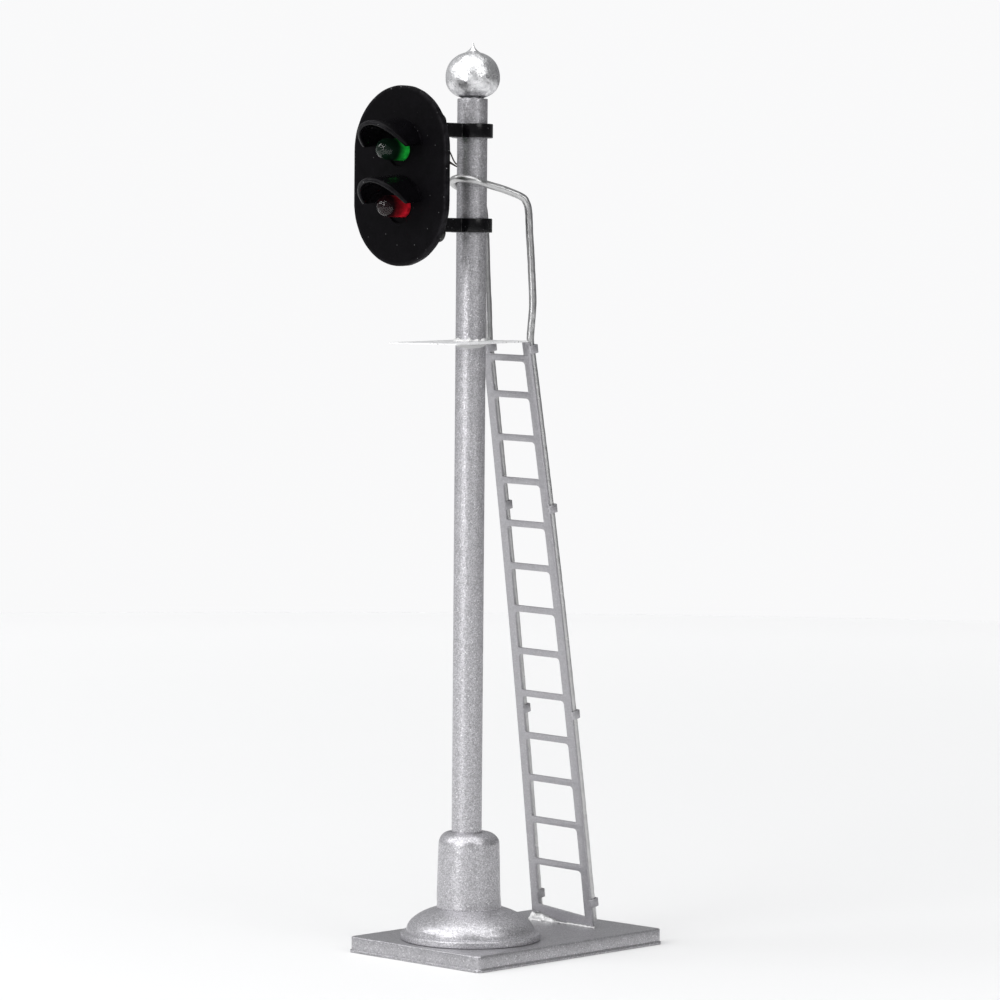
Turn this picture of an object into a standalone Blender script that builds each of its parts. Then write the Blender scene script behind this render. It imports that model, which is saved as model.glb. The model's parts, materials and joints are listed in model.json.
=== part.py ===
"""A two-lamp model signal on a tube mast, with a ladder and a work platform.

Metres, +Z up. The origin is the centre of the base plate's underside, the lamps face -Y and
the ladder stands on the +Y side of the mast.
"""

import bmesh
import bpy
from math import acos, asin, cos, pi, radians, sin, sqrt
from mathutils import Matrix, Vector

MM = 0.001

# Every pair of pieces that touch keeps this much air, small enough not to show on so small a model.
CONTACT_GAP = 0.04 * MM
RUNNING_GAP = 0.05 * MM

# Base plate
BASE_WIDTH = 24.8 * MM
BASE_LENGTH = 36.8 * MM
BASE_HEIGHT = 2.2 * MM
BASE_CORNER = 0.6 * MM
BASE_EDGE = 0.12 * MM
BASE_LIP_HEIGHT = 0.42 * MM
BASE_LIP_REACH = 0.18 * MM
WIRE_OUTLET_RADIUS = 1.6 * MM

# Mast tube
MAST_Y = -8.2 * MM
MAST_RADIUS = 2.07 * MM
MAST_BORE = 1.6 * MM
MAST_TOP = 117.4 * MM
ROUND_STEPS = 48

# Pedestal
PEDESTAL_TOP = 17.0 * MM
RIM_RADIUS = 9.65 * MM
RIM_TOP = 3.15 * MM
BELL_RADIUS = 8.85 * MM
BELL_CENTRE = 3.3 * MM
BELL_HEIGHT = 3.9 * MM
BODY_FOOT_RADIUS = 4.44 * MM
BODY_TOP_RADIUS = 4.2 * MM
SHOULDER_RADIUS = 1.7 * MM

# Ball finial
BALL_RADIUS = 3.74 * MM
BALL_CENTRE = 120.3 * MM
BALL_DEPTH = 2.93 * MM
BALL_RISE = 3.5 * MM
NECK_RADIUS = 1.52 * MM
SPIGOT_LENGTH = 3.0 * MM
SPIKE_FOOT_RADIUS = 1.05 * MM
SPIKE_TIP = 125.0 * MM
SPIKE_TIP_RADIUS = 0.12 * MM

# Signal head
PLATE_WIDTH = 17.4 * MM
PLATE_HEIGHT = 24.2 * MM
PLATE_THICKNESS = 0.9 * MM
PLATE_EDGE = 0.12 * MM
PLATE_CENTRE = 106.6 * MM
FACE_REACH = 13.98 * MM
LAMP_OFFSET = 3.8 * MM
LED_DROP = 0.3 * MM
LED_RADIUS = 1.47 * MM
LED_HOLE_GAP = 0.08 * MM
LED_TIP = 3.9 * MM
RECESS_RADIUS = 2.3 * MM
RECESS_DEPTH = 0.4 * MM
FLANGE_RADIUS = 1.9 * MM
FLANGE_THICKNESS = 0.8 * MM
LEG_RADIUS = 0.22 * MM
LEG_SPACING = 2.54 * MM
LEG_STANDOFF = 0.45 * MM
LEG_DROP = 1.5 * MM

# Hoods: the upper part of a drooping round tube, its front cut back in a curve from the top to the sides
HOOD_RADIUS = 4.42 * MM
HOOD_WALL = 0.62 * MM
HOOD_DROP = 0.45 * MM
HOOD_DROOP = 0.1
HOOD_LEVEL_REACH = 1.91 * MM
HOOD_REACH_SLOPE = 5.13 * MM
HOOD_REACH_CURVE = 1.29 * MM
HOOD_HALF_ANGLE = radians(80)
HOOD_STEPS = 26

# Rear housing
HOUSING_WIDTH = 11.4 * MM
HOUSING_HEIGHT = 17.3 * MM
HOUSING_CENTRE = 106.35 * MM
HOUSING_REAR = 10.6 * MM
HOUSING_WALL = 0.6 * MM
HOUSING_CORNER = 1.3 * MM
WIRE_SLOT_WIDTH = 1.4 * MM
WIRE_SLOT_HEIGHT = 5.0 * MM
WIRE_SLOT_CENTRE = 109.0 * MM

# Mast clips
CLIP_CENTRES = {"upper_bracket": 113.02 * MM, "lower_bracket": 100.16 * MM}
CLIP_HEIGHT = 1.92 * MM
CLIP_RADIUS = 2.82 * MM
ARM_HALF_WIDTH = 0.75 * MM
PAD_HALF_WIDTH = 1.7 * MM
PAD_THICKNESS = 0.6 * MM

# Ladder: a flat sheet with tabs folded round the rods behind its stringers
LADDER_FOOT = Vector((0.0, 11.5 * MM, BASE_HEIGHT + 0.22 * MM))
LADDER_LEAN = radians(10.1)
LADDER_ROLL = radians(1.25)
LADDER_LENGTH = 83.0 * MM
LADDER_BOW = 0.5 * MM
LADDER_FOOT_WIDTH = 11.55 * MM
LADDER_TOP_WIDTH = 9.0 * MM
SHEET = 0.36 * MM
STRINGER_WIDTH = 1.35 * MM
EVEN_RUNGS = 12
RUNG_PITCH = 6.124 * MM
RUNG_HEIGHT = 0.9 * MM
FIRST_RUNG = 8.45 * MM
TOP_RUNG = 80.98 * MM
FOOT_BAR_HEIGHT = 1.5 * MM
TAB_HEIGHTS = (3.4 * MM, 30.5 * MM, 59.8 * MM, 82.2 * MM)
TAB_LENGTH = 1.15 * MM
TAB_THICKNESS = 0.26 * MM
TAB_FOOT = 0.35 * MM
TAB_SQUARENESS = 4

# Handrail rod
ROD_RADIUS = 0.51 * MM
ROD_INSET = 0.6 * MM
ROD_FOOT = 0.7 * MM
LOOP_HEIGHTS = (105.45, 105.8, 106.15, 106.4, 106.55, 106.5, 106.3, 106.05, 105.8)

# Work platform
PLATFORM_TOP = 84.1 * MM
PLATFORM_THICKNESS = 0.2 * MM
PLATFORM_WIDTH = 13.0 * MM
PLATFORM_FRONT = -9.4 * MM
PLATFORM_REAR = 4.75 * MM
COLLAR_REACH = 0.5 * MM
COLLAR_HEIGHT = 0.75 * MM

# Wires
WIRE_RADIUS = 0.1 * MM
WIRE_HOLE_RADIUS = 0.5 * MM
WIRE_HOLE_HEIGHT = 108.3 * MM
WIRE_HOLE_TURN = radians(-50)
WIRE_LANE = 0.8 * MM
WIRE_SPACING = 0.21 * MM


# Helpers


def clear_scene():
    for obj in list(bpy.data.objects):
        bpy.data.objects.remove(obj)


def material(name, colour, roughness, metallic=0.0, alpha=1.0):
    made = bpy.data.materials.new(name)
    made.use_nodes = True
    shader = made.node_tree.nodes["Principled BSDF"]
    shader.inputs["Base Color"].default_value = (*colour, 1.0)
    shader.inputs["Roughness"].default_value = roughness
    shader.inputs["Metallic"].default_value = metallic
    shader.inputs["Alpha"].default_value = alpha
    made.diffuse_color = (*colour, alpha)
    return made


def empty(name, matrix):
    made = bpy.data.objects.new(name, None)
    made.empty_display_size = 5 * MM
    made.matrix_world = matrix
    bpy.context.scene.collection.objects.link(made)
    return made


def add_object(name, data, surface, parent=None, location=(0, 0, 0)):
    made = bpy.data.objects.new(name, data)
    if surface is not None:
        data.materials.append(surface)
    bpy.context.scene.collection.objects.link(made)
    made.parent = parent
    made.location = location
    return made


def finish_mesh(bm, name, smooth_angle=radians(32)):
    bmesh.ops.recalc_face_normals(bm, faces=bm.faces)
    mesh = bpy.data.meshes.new(name)
    bm.to_mesh(mesh)
    bm.free()
    mesh.shade_smooth()
    mesh.set_sharp_from_angle(angle=smooth_angle)
    return mesh


def turned(name, profile, steps=ROUND_STEPS, closed=False):
    """The (radius, height) profile spun about Z. A closed one leaves a bore down the middle."""
    bm = bmesh.new()
    verts = [bm.verts.new((radius, 0, height)) for radius, height in profile]
    edges = [bm.edges.new(pair) for pair in zip(verts, verts[1:])]
    if closed:
        edges.append(bm.edges.new((verts[-1], verts[0])))
    bmesh.ops.spin(bm, geom=verts + edges, cent=(0, 0, 0), axis=(0, 0, 1), angle=2 * pi, steps=steps)
    bmesh.ops.remove_doubles(bm, verts=bm.verts, dist=0.001 * MM)
    return finish_mesh(bm, name)


def lofted(name, rings, smooth_angle=radians(32)):
    """Rings of equally many points, joined in order, with a face on the first and on the last."""
    bm = bmesh.new()
    loops = [[bm.verts.new(point) for point in ring] for ring in rings]
    for lower, upper in zip(loops, loops[1:]):
        for i in range(len(lower)):
            bm.faces.new((lower[i - 1], lower[i], upper[i], upper[i - 1]))
    bm.faces.new(loops[0])
    bm.faces.new(loops[-1])
    return finish_mesh(bm, name, smooth_angle)


def cut(target, name, mesh, location=(0, 0, 0), rotation=(0, 0, 0)):
    """Takes the mesh out of the target. Its place is in the target's own frame."""
    cutter = add_object(name, mesh, None, target, location)
    cutter.rotation_euler = rotation
    cutter.hide_render = True
    cutter.display_type = "WIRE"
    boolean = target.modifiers.new(name, "BOOLEAN")
    boolean.object = cutter
    boolean.operation = "DIFFERENCE"
    return cutter


def join_on(target, helper):
    """Unites a helper's shape with the target's."""
    helper.hide_render = True
    helper.display_type = "WIRE"
    boolean = target.modifiers.new(helper.name, "BOOLEAN")
    boolean.object = helper
    boolean.operation = "UNION"


def cylinder(name, radius, low, high, steps=32):
    return turned(name, [(0, low), (radius, low), (radius, high), (0, high)], steps)


def rounded_rectangle(half_x, half_y, corner, steps=4):
    points = []
    for turn, (sx, sy) in enumerate(((1, 1), (-1, 1), (-1, -1), (1, -1))):
        for k in range(steps + 1):
            angle = turn * pi / 2 + k / steps * pi / 2
            points.append(
                (
                    sx * (half_x - corner) + corner * cos(angle),
                    sy * (half_y - corner) + corner * sin(angle),
                )
            )
    return points


def stadium(radius, half_straight, steps=24):
    """An upright slot shape in X and Z: two half circles and two straight sides."""
    points = []
    for side, start in ((1, 0), (-1, pi)):
        for k in range(steps + 1):
            angle = start + k / steps * pi
            points.append((radius * cos(angle), radius * sin(angle) + side * half_straight))
    return points


def smooth_route(points, per_span):
    """Points read from a Catmull-Rom curve through the given ones."""
    route = [points[0]]
    padded = [2 * points[0] - points[1], *points, 2 * points[-1] - points[-2]]
    for a, b, c, d in zip(padded, padded[1:], padded[2:], padded[3:]):
        for k in range(1, per_span + 1):
            t = k / per_span
            route.append(
                0.5
                * (
                    2 * b
                    + (c - a) * t
                    + (2 * a - 5 * b + 4 * c - d) * t * t
                    + (3 * b - a - 3 * c + d) * t**3
                )
            )
    return route


def tube(name, points, radius, surface, parent=None, resolution=2):
    curve = bpy.data.curves.new(name, "CURVE")
    curve.dimensions = "3D"
    curve.bevel_depth = radius
    curve.bevel_resolution = resolution
    curve.use_fill_caps = True
    spline = curve.splines.new("POLY")
    spline.points.add(len(points) - 1)
    for target, point in zip(spline.points, points):
        target.co = (*point, 1.0)
    spline.use_smooth = True
    return add_object(name, curve, surface, parent)


# Base, pedestal, mast and finial


def make_base(paint):
    levels = (
        (0, BASE_LIP_REACH),
        (BASE_LIP_HEIGHT - 0.06 * MM, BASE_LIP_REACH),
        (BASE_LIP_HEIGHT, 0),
        (BASE_HEIGHT - BASE_EDGE, 0),
        (BASE_HEIGHT, -BASE_EDGE),
    )
    rings = []
    for height, reach in levels:
        outline = rounded_rectangle(BASE_WIDTH / 2 + reach, BASE_LENGTH / 2 + reach, BASE_CORNER + reach)
        rings.append([(x, y, height) for x, y in outline])
    base = add_object("base_plate", lofted("base_plate", rings), paint)
    outlet = cylinder("wire_outlet_cutter", WIRE_OUTLET_RADIUS, -MM, BASE_HEIGHT + MM)
    cut(base, "wire_outlet_cutter", outlet, (0, MAST_Y, 0))
    return base


def make_pedestal(paint):
    foot = BASE_HEIGHT + CONTACT_GAP
    bore = MAST_RADIUS + RUNNING_GAP
    profile = [(bore, foot), (RIM_RADIUS - 0.1 * MM, foot), (RIM_RADIUS, foot + 0.1 * MM)]
    profile += [(RIM_RADIUS, RIM_TOP - 0.15 * MM), (RIM_RADIUS - 0.15 * MM, RIM_TOP)]
    bell_end = asin(sqrt(1 - (BODY_FOOT_RADIUS / BELL_RADIUS) ** 2))
    for k in range(11):
        angle = bell_end * k / 10
        profile.append((BELL_RADIUS * cos(angle), BELL_CENTRE + BELL_HEIGHT * sin(angle)))
    shoulder = PEDESTAL_TOP - SHOULDER_RADIUS
    for k in range(7):
        angle = pi / 2 * k / 6
        profile.append(
            (
                BODY_TOP_RADIUS - SHOULDER_RADIUS * (1 - cos(angle)),
                shoulder + SHOULDER_RADIUS * sin(angle),
            )
        )
    profile.append((bore, PEDESTAL_TOP))
    mesh = turned("pedestal", profile, closed=True)
    return add_object("pedestal", mesh, paint, location=(0, MAST_Y, 0))


def make_mast(paint):
    foot = BASE_HEIGHT + CONTACT_GAP
    edge = 0.06 * MM
    profile = (
        (MAST_BORE, foot),
        (MAST_RADIUS, foot),
        (MAST_RADIUS, MAST_TOP - edge),
        (MAST_RADIUS - edge, MAST_TOP),
        (MAST_BORE, MAST_TOP),
    )
    mesh = turned("mast_tube", profile, closed=True)
    mast = add_object("mast_tube", mesh, paint, location=(0, MAST_Y, 0))
    drill = cylinder("wire_hole_cutter", WIRE_HOLE_RADIUS, 0.5 * MM, 3 * MM, 16)
    cut(mast, "wire_hole_cutter", drill, (0, 0, WIRE_HOLE_HEIGHT), (pi / 2, 0, WIRE_HOLE_TURN))
    return mast


def superellipse(radius, height, power, angle):
    return radius * cos(angle) ** (2 / power), height * sin(angle) ** (2 / power)


def make_finial(metal):
    profile = [(0, MAST_TOP - SPIGOT_LENGTH), (NECK_RADIUS, MAST_TOP - SPIGOT_LENGTH)]
    lower_end = acos((NECK_RADIUS / BALL_RADIUS) ** 1.15)
    for k in range(8, -1, -1):
        radius, drop = superellipse(BALL_RADIUS, BALL_DEPTH, 2.3, lower_end * k / 8)
        profile.append((radius, BALL_CENTRE - drop))
    upper_end = acos((SPIKE_FOOT_RADIUS / BALL_RADIUS) ** 1.05)
    for k in range(1, 10):
        radius, rise = superellipse(BALL_RADIUS, BALL_RISE, 2.1, upper_end * k / 9)
        profile.append((radius, BALL_CENTRE + rise))
    foot = profile[-1][1]
    for k in range(1, 6):
        share = k / 5
        radius = SPIKE_TIP_RADIUS + (SPIKE_FOOT_RADIUS - SPIKE_TIP_RADIUS) * (1 - share) ** 2.2
        profile.append((radius, foot + (SPIKE_TIP - 0.08 * MM - foot) * share))
    profile.append((0, SPIKE_TIP))
    return add_object("ball_finial", turned("ball_finial", profile), metal, location=(0, MAST_Y, 0))


# Signal head: local coordinates have the mast's axis at X = Y = 0


def make_target_plate(plastic, head):
    levels = [(0, PLATE_EDGE), (PLATE_EDGE, 0)]
    levels += [(PLATE_THICKNESS - PLATE_EDGE, 0), (PLATE_THICKNESS, PLATE_EDGE)]
    straight = (PLATE_HEIGHT - PLATE_WIDTH) / 2
    rings = []
    for depth, inset in levels:
        outline = stadium(PLATE_WIDTH / 2 - inset, straight)
        rings.append([(x, depth - FACE_REACH, z) for x, z in outline])
    mesh = lofted("target_plate", rings)
    plate = add_object("target_plate", mesh, plastic, head, (0, 0, PLATE_CENTRE))
    for name, side in (("green", 1), ("red", -1)):
        place = (0, -FACE_REACH, side * LAMP_OFFSET - LED_DROP)
        drill = cylinder(f"{name}_hole_cutter", LED_RADIUS + LED_HOLE_GAP, -2 * MM, MM)
        cut(plate, f"{name}_hole_cutter", drill, place, (pi / 2, 0, 0))
        recess = cylinder(f"{name}_recess_cutter", RECESS_RADIUS, -RECESS_DEPTH, 2 * MM, 48)
        cut(plate, f"{name}_recess_cutter", recess, place, (pi / 2, 0, 0))
    return plate


def hood_reach(angle):
    """How far the hood stands out at this angle from its top."""
    lift = cos(angle)
    return HOOD_LEVEL_REACH + HOOD_REACH_SLOPE * lift - HOOD_REACH_CURVE * lift**2


def make_hood(name, height, plastic, head):
    back = -FACE_REACH - CONTACT_GAP
    inside = HOOD_RADIUS - HOOD_WALL
    rings = []
    for k in range(HOOD_STEPS + 1):
        angle = HOOD_HALF_ANGLE * (2 * k / HOOD_STEPS - 1)
        reach = hood_reach(angle)
        section = []
        for radius, out in ((HOOD_RADIUS, 0), (HOOD_RADIUS, reach), (inside, reach), (inside, 0)):
            section.append((radius * sin(angle), back - out, radius * cos(angle) - HOOD_DROOP * out))
        rings.append(section)
    return add_object(name, lofted(name, rings), plastic, head, (0, 0, height - HOOD_DROP))


def make_led(name, height, epoxy, head):
    body_end = LED_TIP - LED_RADIUS
    flange_front = -PLATE_THICKNESS - CONTACT_GAP
    flange_back = flange_front - FLANGE_THICKNESS
    profile = [(0, flange_back), (FLANGE_RADIUS, flange_back), (FLANGE_RADIUS, flange_front)]
    profile.append((LED_RADIUS, flange_front))
    for k in range(9):
        angle = pi / 2 * k / 8
        radius = LED_RADIUS * cos(angle) if k < 8 else 0
        profile.append((radius, body_end + LED_RADIUS * sin(angle)))
    led = add_object(name, turned(name, profile, 32), epoxy, head, (0, -FACE_REACH, height))
    led.rotation_euler = (pi / 2, 0, 0)
    return led


def leg_end(side, height, inward):
    """Where a lamp's leg ends, behind the lamp and bent towards the middle of the housing."""
    y = -FACE_REACH + PLATE_THICKNESS + 2 * CONTACT_GAP + FLANGE_THICKNESS + LEG_STANDOFF
    return Vector((side * LEG_SPACING / 2, y, height + inward * LEG_DROP))


def make_leg(name, side, height, inward, metal, head):
    end = leg_end(side, height, inward)
    start = Vector((end.x, end.y - LEG_STANDOFF, height))
    corner = Vector((end.x, end.y, height))
    bend = 0.25 * MM
    route = [start]
    for k in range(5):
        angle = pi / 2 * k / 4
        back, turn = bend * (1 - sin(angle)), bend * (1 - cos(angle))
        route.append(corner + Vector((0, -back, inward * turn)))
    route.append(end)
    return tube(name, route, LEG_RADIUS, metal, head)


def make_housing(plastic, head):
    front = -FACE_REACH + PLATE_THICKNESS + CONTACT_GAP
    rear = -HOUSING_REAR
    edge = 0.35 * MM
    half_x, half_z = HOUSING_WIDTH / 2, HOUSING_HEIGHT / 2
    floor = rear - HOUSING_WALL
    rings = []
    for y, inset in (
        (floor, HOUSING_WALL),
        (front, HOUSING_WALL),
        (front, 0),
        (rear - edge, 0),
        (rear - 0.1 * MM, 0.6 * edge),
        (rear, edge),
    ):
        corner = HOUSING_CORNER - min(inset, 0.6 * MM)
        outline = rounded_rectangle(half_x - inset, half_z - inset, corner)
        rings.append([(x, y, z) for x, z in outline])
    mesh = lofted("rear_housing", rings)
    housing = add_object("rear_housing", mesh, plastic, head, (0, 0, HOUSING_CENTRE))
    outline = stadium(WIRE_SLOT_WIDTH / 2, (WIRE_SLOT_HEIGHT - WIRE_SLOT_WIDTH) / 2, 8)
    ends = (floor - MM / 2, rear + MM)
    slot = lofted("wire_slot_cutter", [[(x, y, z) for x, z in outline] for y in ends])
    cut(housing, "wire_slot_cutter", slot, (0, 0, WIRE_SLOT_CENTRE - HOUSING_CENTRE))
    return housing


def make_bracket(name, plastic, head):
    """A ring round the mast, an arm forward and a pad on the back of the housing, in one piece."""
    rear = -HOUSING_REAR + CONTACT_GAP
    join = asin(ARM_HALF_WIDTH / CLIP_RADIUS)
    outline = [(PAD_HALF_WIDTH, rear), (PAD_HALF_WIDTH, rear + PAD_THICKNESS)]
    outline.append((ARM_HALF_WIDTH, rear + PAD_THICKNESS))
    steps = 40
    for k in range(steps + 1):
        angle = join + (2 * pi - 2 * join) * k / steps
        outline.append((CLIP_RADIUS * sin(angle), -CLIP_RADIUS * cos(angle)))
    outline.append((-ARM_HALF_WIDTH, rear + PAD_THICKNESS))
    outline += [(-PAD_HALF_WIDTH, rear + PAD_THICKNESS), (-PAD_HALF_WIDTH, rear)]
    half = CLIP_HEIGHT / 2
    mesh = lofted(name, [[(x, y, z) for x, y in outline] for z in (-half, half)])
    bracket = add_object(name, mesh, plastic, head, (0, 0, CLIP_CENTRES[name]))
    bore = cylinder(f"{name}_bore_cutter", MAST_RADIUS + RUNNING_GAP, -2 * MM, 2 * MM, ROUND_STEPS)
    cut(bracket, f"{name}_bore_cutter", bore)
    return bracket


# Ladder, handrail and platform


def ladder_matrix():
    lean = Matrix.Rotation(LADDER_LEAN, 4, "X")
    roll = Matrix.Rotation(LADDER_ROLL, 4, "Y")
    return Matrix.Translation(LADDER_FOOT) @ lean @ roll


def ladder_bow(along):
    """The sheet's slight outward curve at this distance up from its foot."""
    share = along / LADDER_LENGTH
    return LADDER_BOW * 4 * share * (1 - share)


def ladder_half_width(along):
    return (LADDER_FOOT_WIDTH + (LADDER_TOP_WIDTH - LADDER_FOOT_WIDTH) * along / LADDER_LENGTH) / 2


def rod_place(side, along):
    """The rod's centre behind a stringer, in the ladder's frame."""
    x = side * (ladder_half_width(along) - ROD_INSET)
    return Vector((x, ladder_bow(along) + SHEET / 2 + CONTACT_GAP + ROD_RADIUS, along))


def rung_edges():
    """Where the sheet's solid and open stretches change, from the foot bar to the open top."""
    edges = [0.0, FOOT_BAR_HEIGHT]
    for middle in [FIRST_RUNG + k * RUNG_PITCH for k in range(EVEN_RUNGS)] + [TOP_RUNG]:
        edges += [middle - RUNG_HEIGHT / 2, middle + RUNG_HEIGHT / 2]
    return edges + [LADDER_LENGTH]


def boxy_arc(size, start, end, steps):
    """Points of a rounded square's outline about the rod, from one angle to the other in degrees."""
    points = []
    for k in range(steps + 1):
        angle = radians(start + (end - start) * k / steps)
        across, back = cos(angle), sin(angle)
        spread = (abs(across) ** TAB_SQUARENESS + abs(back) ** TAB_SQUARENESS) ** (1 / TAB_SQUARENESS)
        points.append((size * across / spread, size * back / spread))
    return points


def tab_outline():
    """One tab's strip seen from above, about the rod: a foot in the sheet, then a hook round the rod."""
    inner = ROD_RADIUS + CONTACT_GAP
    outer = inner + TAB_THICKNESS
    sheet = -(ROD_RADIUS + CONTACT_GAP + SHEET / 2)
    foot_front, foot_back = sheet - 0.4 * SHEET, sheet + 0.4 * SHEET
    outline = [(inner - TAB_FOOT, foot_front), (outer, foot_front)]
    outline += boxy_arc(outer, 0, 125, 8)
    outline += boxy_arc(inner, 125, 0, 8)
    return outline + [(inner, foot_back), (inner - TAB_FOOT, foot_back)]


def make_tabs(paint, frame):
    """The folded tabs: eight hooks, each from its stringer's +X edge round the rod behind."""
    bm = bmesh.new()
    for along in TAB_HEIGHTS:
        for side in (-1, 1):
            centre = rod_place(side, along)
            ends = []
            for end in (-TAB_LENGTH / 2, TAB_LENGTH / 2):
                drift = ladder_bow(along + end) - ladder_bow(along)
                ring = [centre + Vector((x, y + drift, end)) for x, y in tab_outline()]
                ends.append([bm.verts.new(point) for point in ring])
            lower, upper = ends
            for i in range(len(lower)):
                bm.faces.new((lower[i - 1], lower[i], upper[i], upper[i - 1]))
            bm.faces.new(lower)
            bm.faces.new(upper)
    return add_object("ladder_tabs", finish_mesh(bm, "ladder_tabs"), paint, frame)


def make_ladder(paint, frame):
    bm = bmesh.new()
    rows = []
    for along in rung_edges():
        half = ladder_half_width(along)
        inside = half - STRINGER_WIDTH
        front = ladder_bow(along) - SHEET / 2
        rows.append([bm.verts.new((x, front, along)) for x in (-half, -inside, inside, half)])
    for i, (lower, upper) in enumerate(zip(rows, rows[1:])):
        columns = (0, 1, 2) if i % 2 == 0 else (0, 2)
        for c in columns:
            bm.faces.new((lower[c], lower[c + 1], upper[c + 1], upper[c]))
    grown = bmesh.ops.extrude_face_region(bm, geom=bm.faces[:])
    backs = [v for v in grown["geom"] if isinstance(v, bmesh.types.BMVert)]
    bmesh.ops.translate(bm, verts=backs, vec=(0, SHEET, 0))
    ladder = add_object("ladder_frame", finish_mesh(bm, "ladder_frame"), paint, frame)
    join_on(ladder, make_tabs(paint, frame))
    return ladder


def make_handrail(paint):
    """One bent rod: up behind one stringer, round the mast above the platform and down the other."""
    to_world = ladder_matrix()
    left_top, right_top = (to_world @ rod_place(side, LADDER_LENGTH - 0.3 * MM) for side in (-1, 1))
    stretch = [ROD_FOOT + (LADDER_LENGTH - 3 * MM - ROD_FOOT) * k / 8 for k in range(9)]
    left_run = [to_world @ rod_place(-1, along) for along in stretch] + [left_top]
    right_run = [right_top] + [to_world @ rod_place(1, along) for along in reversed(stretch)]
    axis = Vector((0, MAST_Y, 0))
    left_post = (
        (-2.2, 5.75, 88.0),
        (-2.35, 5.5, 94.0),
        (-2.5, 5.3, 100.0),
        (-2.6, 5.0, 102.7),
        (-2.66, 4.0, 104.1),
        (-2.68, 2.0, 104.9),
    )
    right_post = (
        (3.7, 2.4, 105.1),
        (4.85, 4.7, 104.15),
        (5.2, 5.35, 103.35),
        (5.36, 5.65, 102.0),
        (5.48, 5.75, 99.0),
        (5.75, 5.9, 94.5),
        (6.0, 5.95, 89.5),
        (5.8, 5.85, 86.2),
    )
    loop_radius = MAST_RADIUS + CONTACT_GAP + ROD_RADIUS
    loop = []
    for k, height in enumerate(LOOP_HEIGHTS):
        angle = pi + pi * k / (len(LOOP_HEIGHTS) - 1)
        loop.append(axis + Vector((loop_radius * cos(angle), loop_radius * sin(angle), height * MM)))
    left_bend = [axis + MM * Vector(p) for p in left_post]
    right_bend = [axis + MM * Vector(p) for p in right_post]
    route = smooth_route(left_run + left_bend + loop + right_bend + right_run, 2)
    return tube("handrail_rod", route, ROD_RADIUS, paint, resolution=3)


def make_platform(paint):
    low = PLATFORM_TOP - PLATFORM_THICKNESS
    half_y = (PLATFORM_REAR - PLATFORM_FRONT) / 2
    middle = (PLATFORM_REAR + PLATFORM_FRONT) / 2
    outline = rounded_rectangle(PLATFORM_WIDTH / 2, half_y, 0.25 * MM, 2)
    rings = [[(x, y + middle, z) for x, y in outline] for z in (low, PLATFORM_TOP)]
    mesh = lofted("work_platform", rings)
    platform = add_object("work_platform", mesh, paint, location=(0, MAST_Y, 0))
    bore = MAST_RADIUS + RUNNING_GAP
    drill = cylinder("mast_hole_cutter", bore, low - MM, PLATFORM_TOP + MM, ROUND_STEPS)
    cut(platform, "mast_hole_cutter", drill)
    return platform


def make_collar(paint):
    top = PLATFORM_TOP - PLATFORM_THICKNESS - CONTACT_GAP
    bore = MAST_RADIUS + RUNNING_GAP
    profile = [(bore, top), (bore, top - COLLAR_HEIGHT)]
    for k in range(5):
        share = k / 4
        profile.append((bore + 0.12 * MM + COLLAR_REACH * share**2, top - COLLAR_HEIGHT * (1 - share)))
    mesh = turned("platform_collar", profile, closed=True)
    return add_object("platform_collar", mesh, paint, location=(0, MAST_Y, 0))


# Wires: from the lamps' legs through the housing's slot, into the mast and down to the base


def make_wire(name, start, bends, turn, insulation):
    """A wire whose bends are in millimetres from the mast's axis. The turn is its place in the hole."""
    axis = Vector((0, MAST_Y, 0))
    height = Vector((0, 0, WIRE_HOLE_HEIGHT))
    outward = Vector((sin(WIRE_HOLE_TURN), -cos(WIRE_HOLE_TURN), 0))
    sideways = Vector((-outward.y, outward.x, 0))
    place = (sideways * cos(turn) + Vector((0, 0, 1)) * sin(turn)) * WIRE_SPACING
    down = (sideways * cos(turn) - outward * sin(turn)) * WIRE_LANE
    points = [axis + start] + [axis + MM * Vector(p) for p in bends]
    points += [axis + height + outward * 2.1 * MM + place, axis + height + outward * 1.5 * MM + place]
    points += [axis + height + down - Vector((0, 0, 1.2 * MM))]
    route = smooth_route(points, 3)
    foot = 0.1 * MM
    top = WIRE_HOLE_HEIGHT - 3 * MM
    for k in range(7):
        route.append(axis + down + Vector((0, 0, foot + (top - foot) * (1 - k / 6))))
    return tube(name, route, WIRE_RADIUS, insulation)


def make_wires(insulation):
    green = PLATE_CENTRE + LAMP_OFFSET - LED_DROP
    red = PLATE_CENTRE - LAMP_OFFSET - LED_DROP
    inside = Vector((0, LEG_RADIUS + WIRE_RADIUS + CONTACT_GAP, 0))
    green_bends = ((0.4, -11.2, 110.0), (0.3, -10.4, 110.6), (0.0, -9.0, 111.2), (-0.6, -6.5, 111.6))
    green_bends += ((-1.3, -4.2, 111.4), (-1.85, -2.5, 110.2), (-1.85, -1.7, 109.0))
    red_bends = ((0.4, -11.2, 107.0), (0.3, -10.4, 107.4), (0.0, -9.0, 107.8), (-1.0, -6.5, 108.7))
    red_bends += ((-1.9, -4.2, 108.9), (-2.25, -1.95, 108.6))
    common_bends = ((-0.45, -11.2, 108.7), (-0.35, -10.4, 108.9), (-0.5, -9.0, 109.3))
    common_bends += ((-0.9, -6.5, 109.6), (-1.4, -4.2, 109.4), (-1.9, -2.3, 108.75))
    make_wire("wire_green", leg_end(1, green, -1) + inside, green_bends, radians(90), insulation)
    make_wire("wire_red", leg_end(1, red, 1) + inside, red_bends, radians(330), insulation)
    make_wire("wire_common", leg_end(-1, green, -1) + inside, common_bends, radians(210), insulation)


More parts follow.
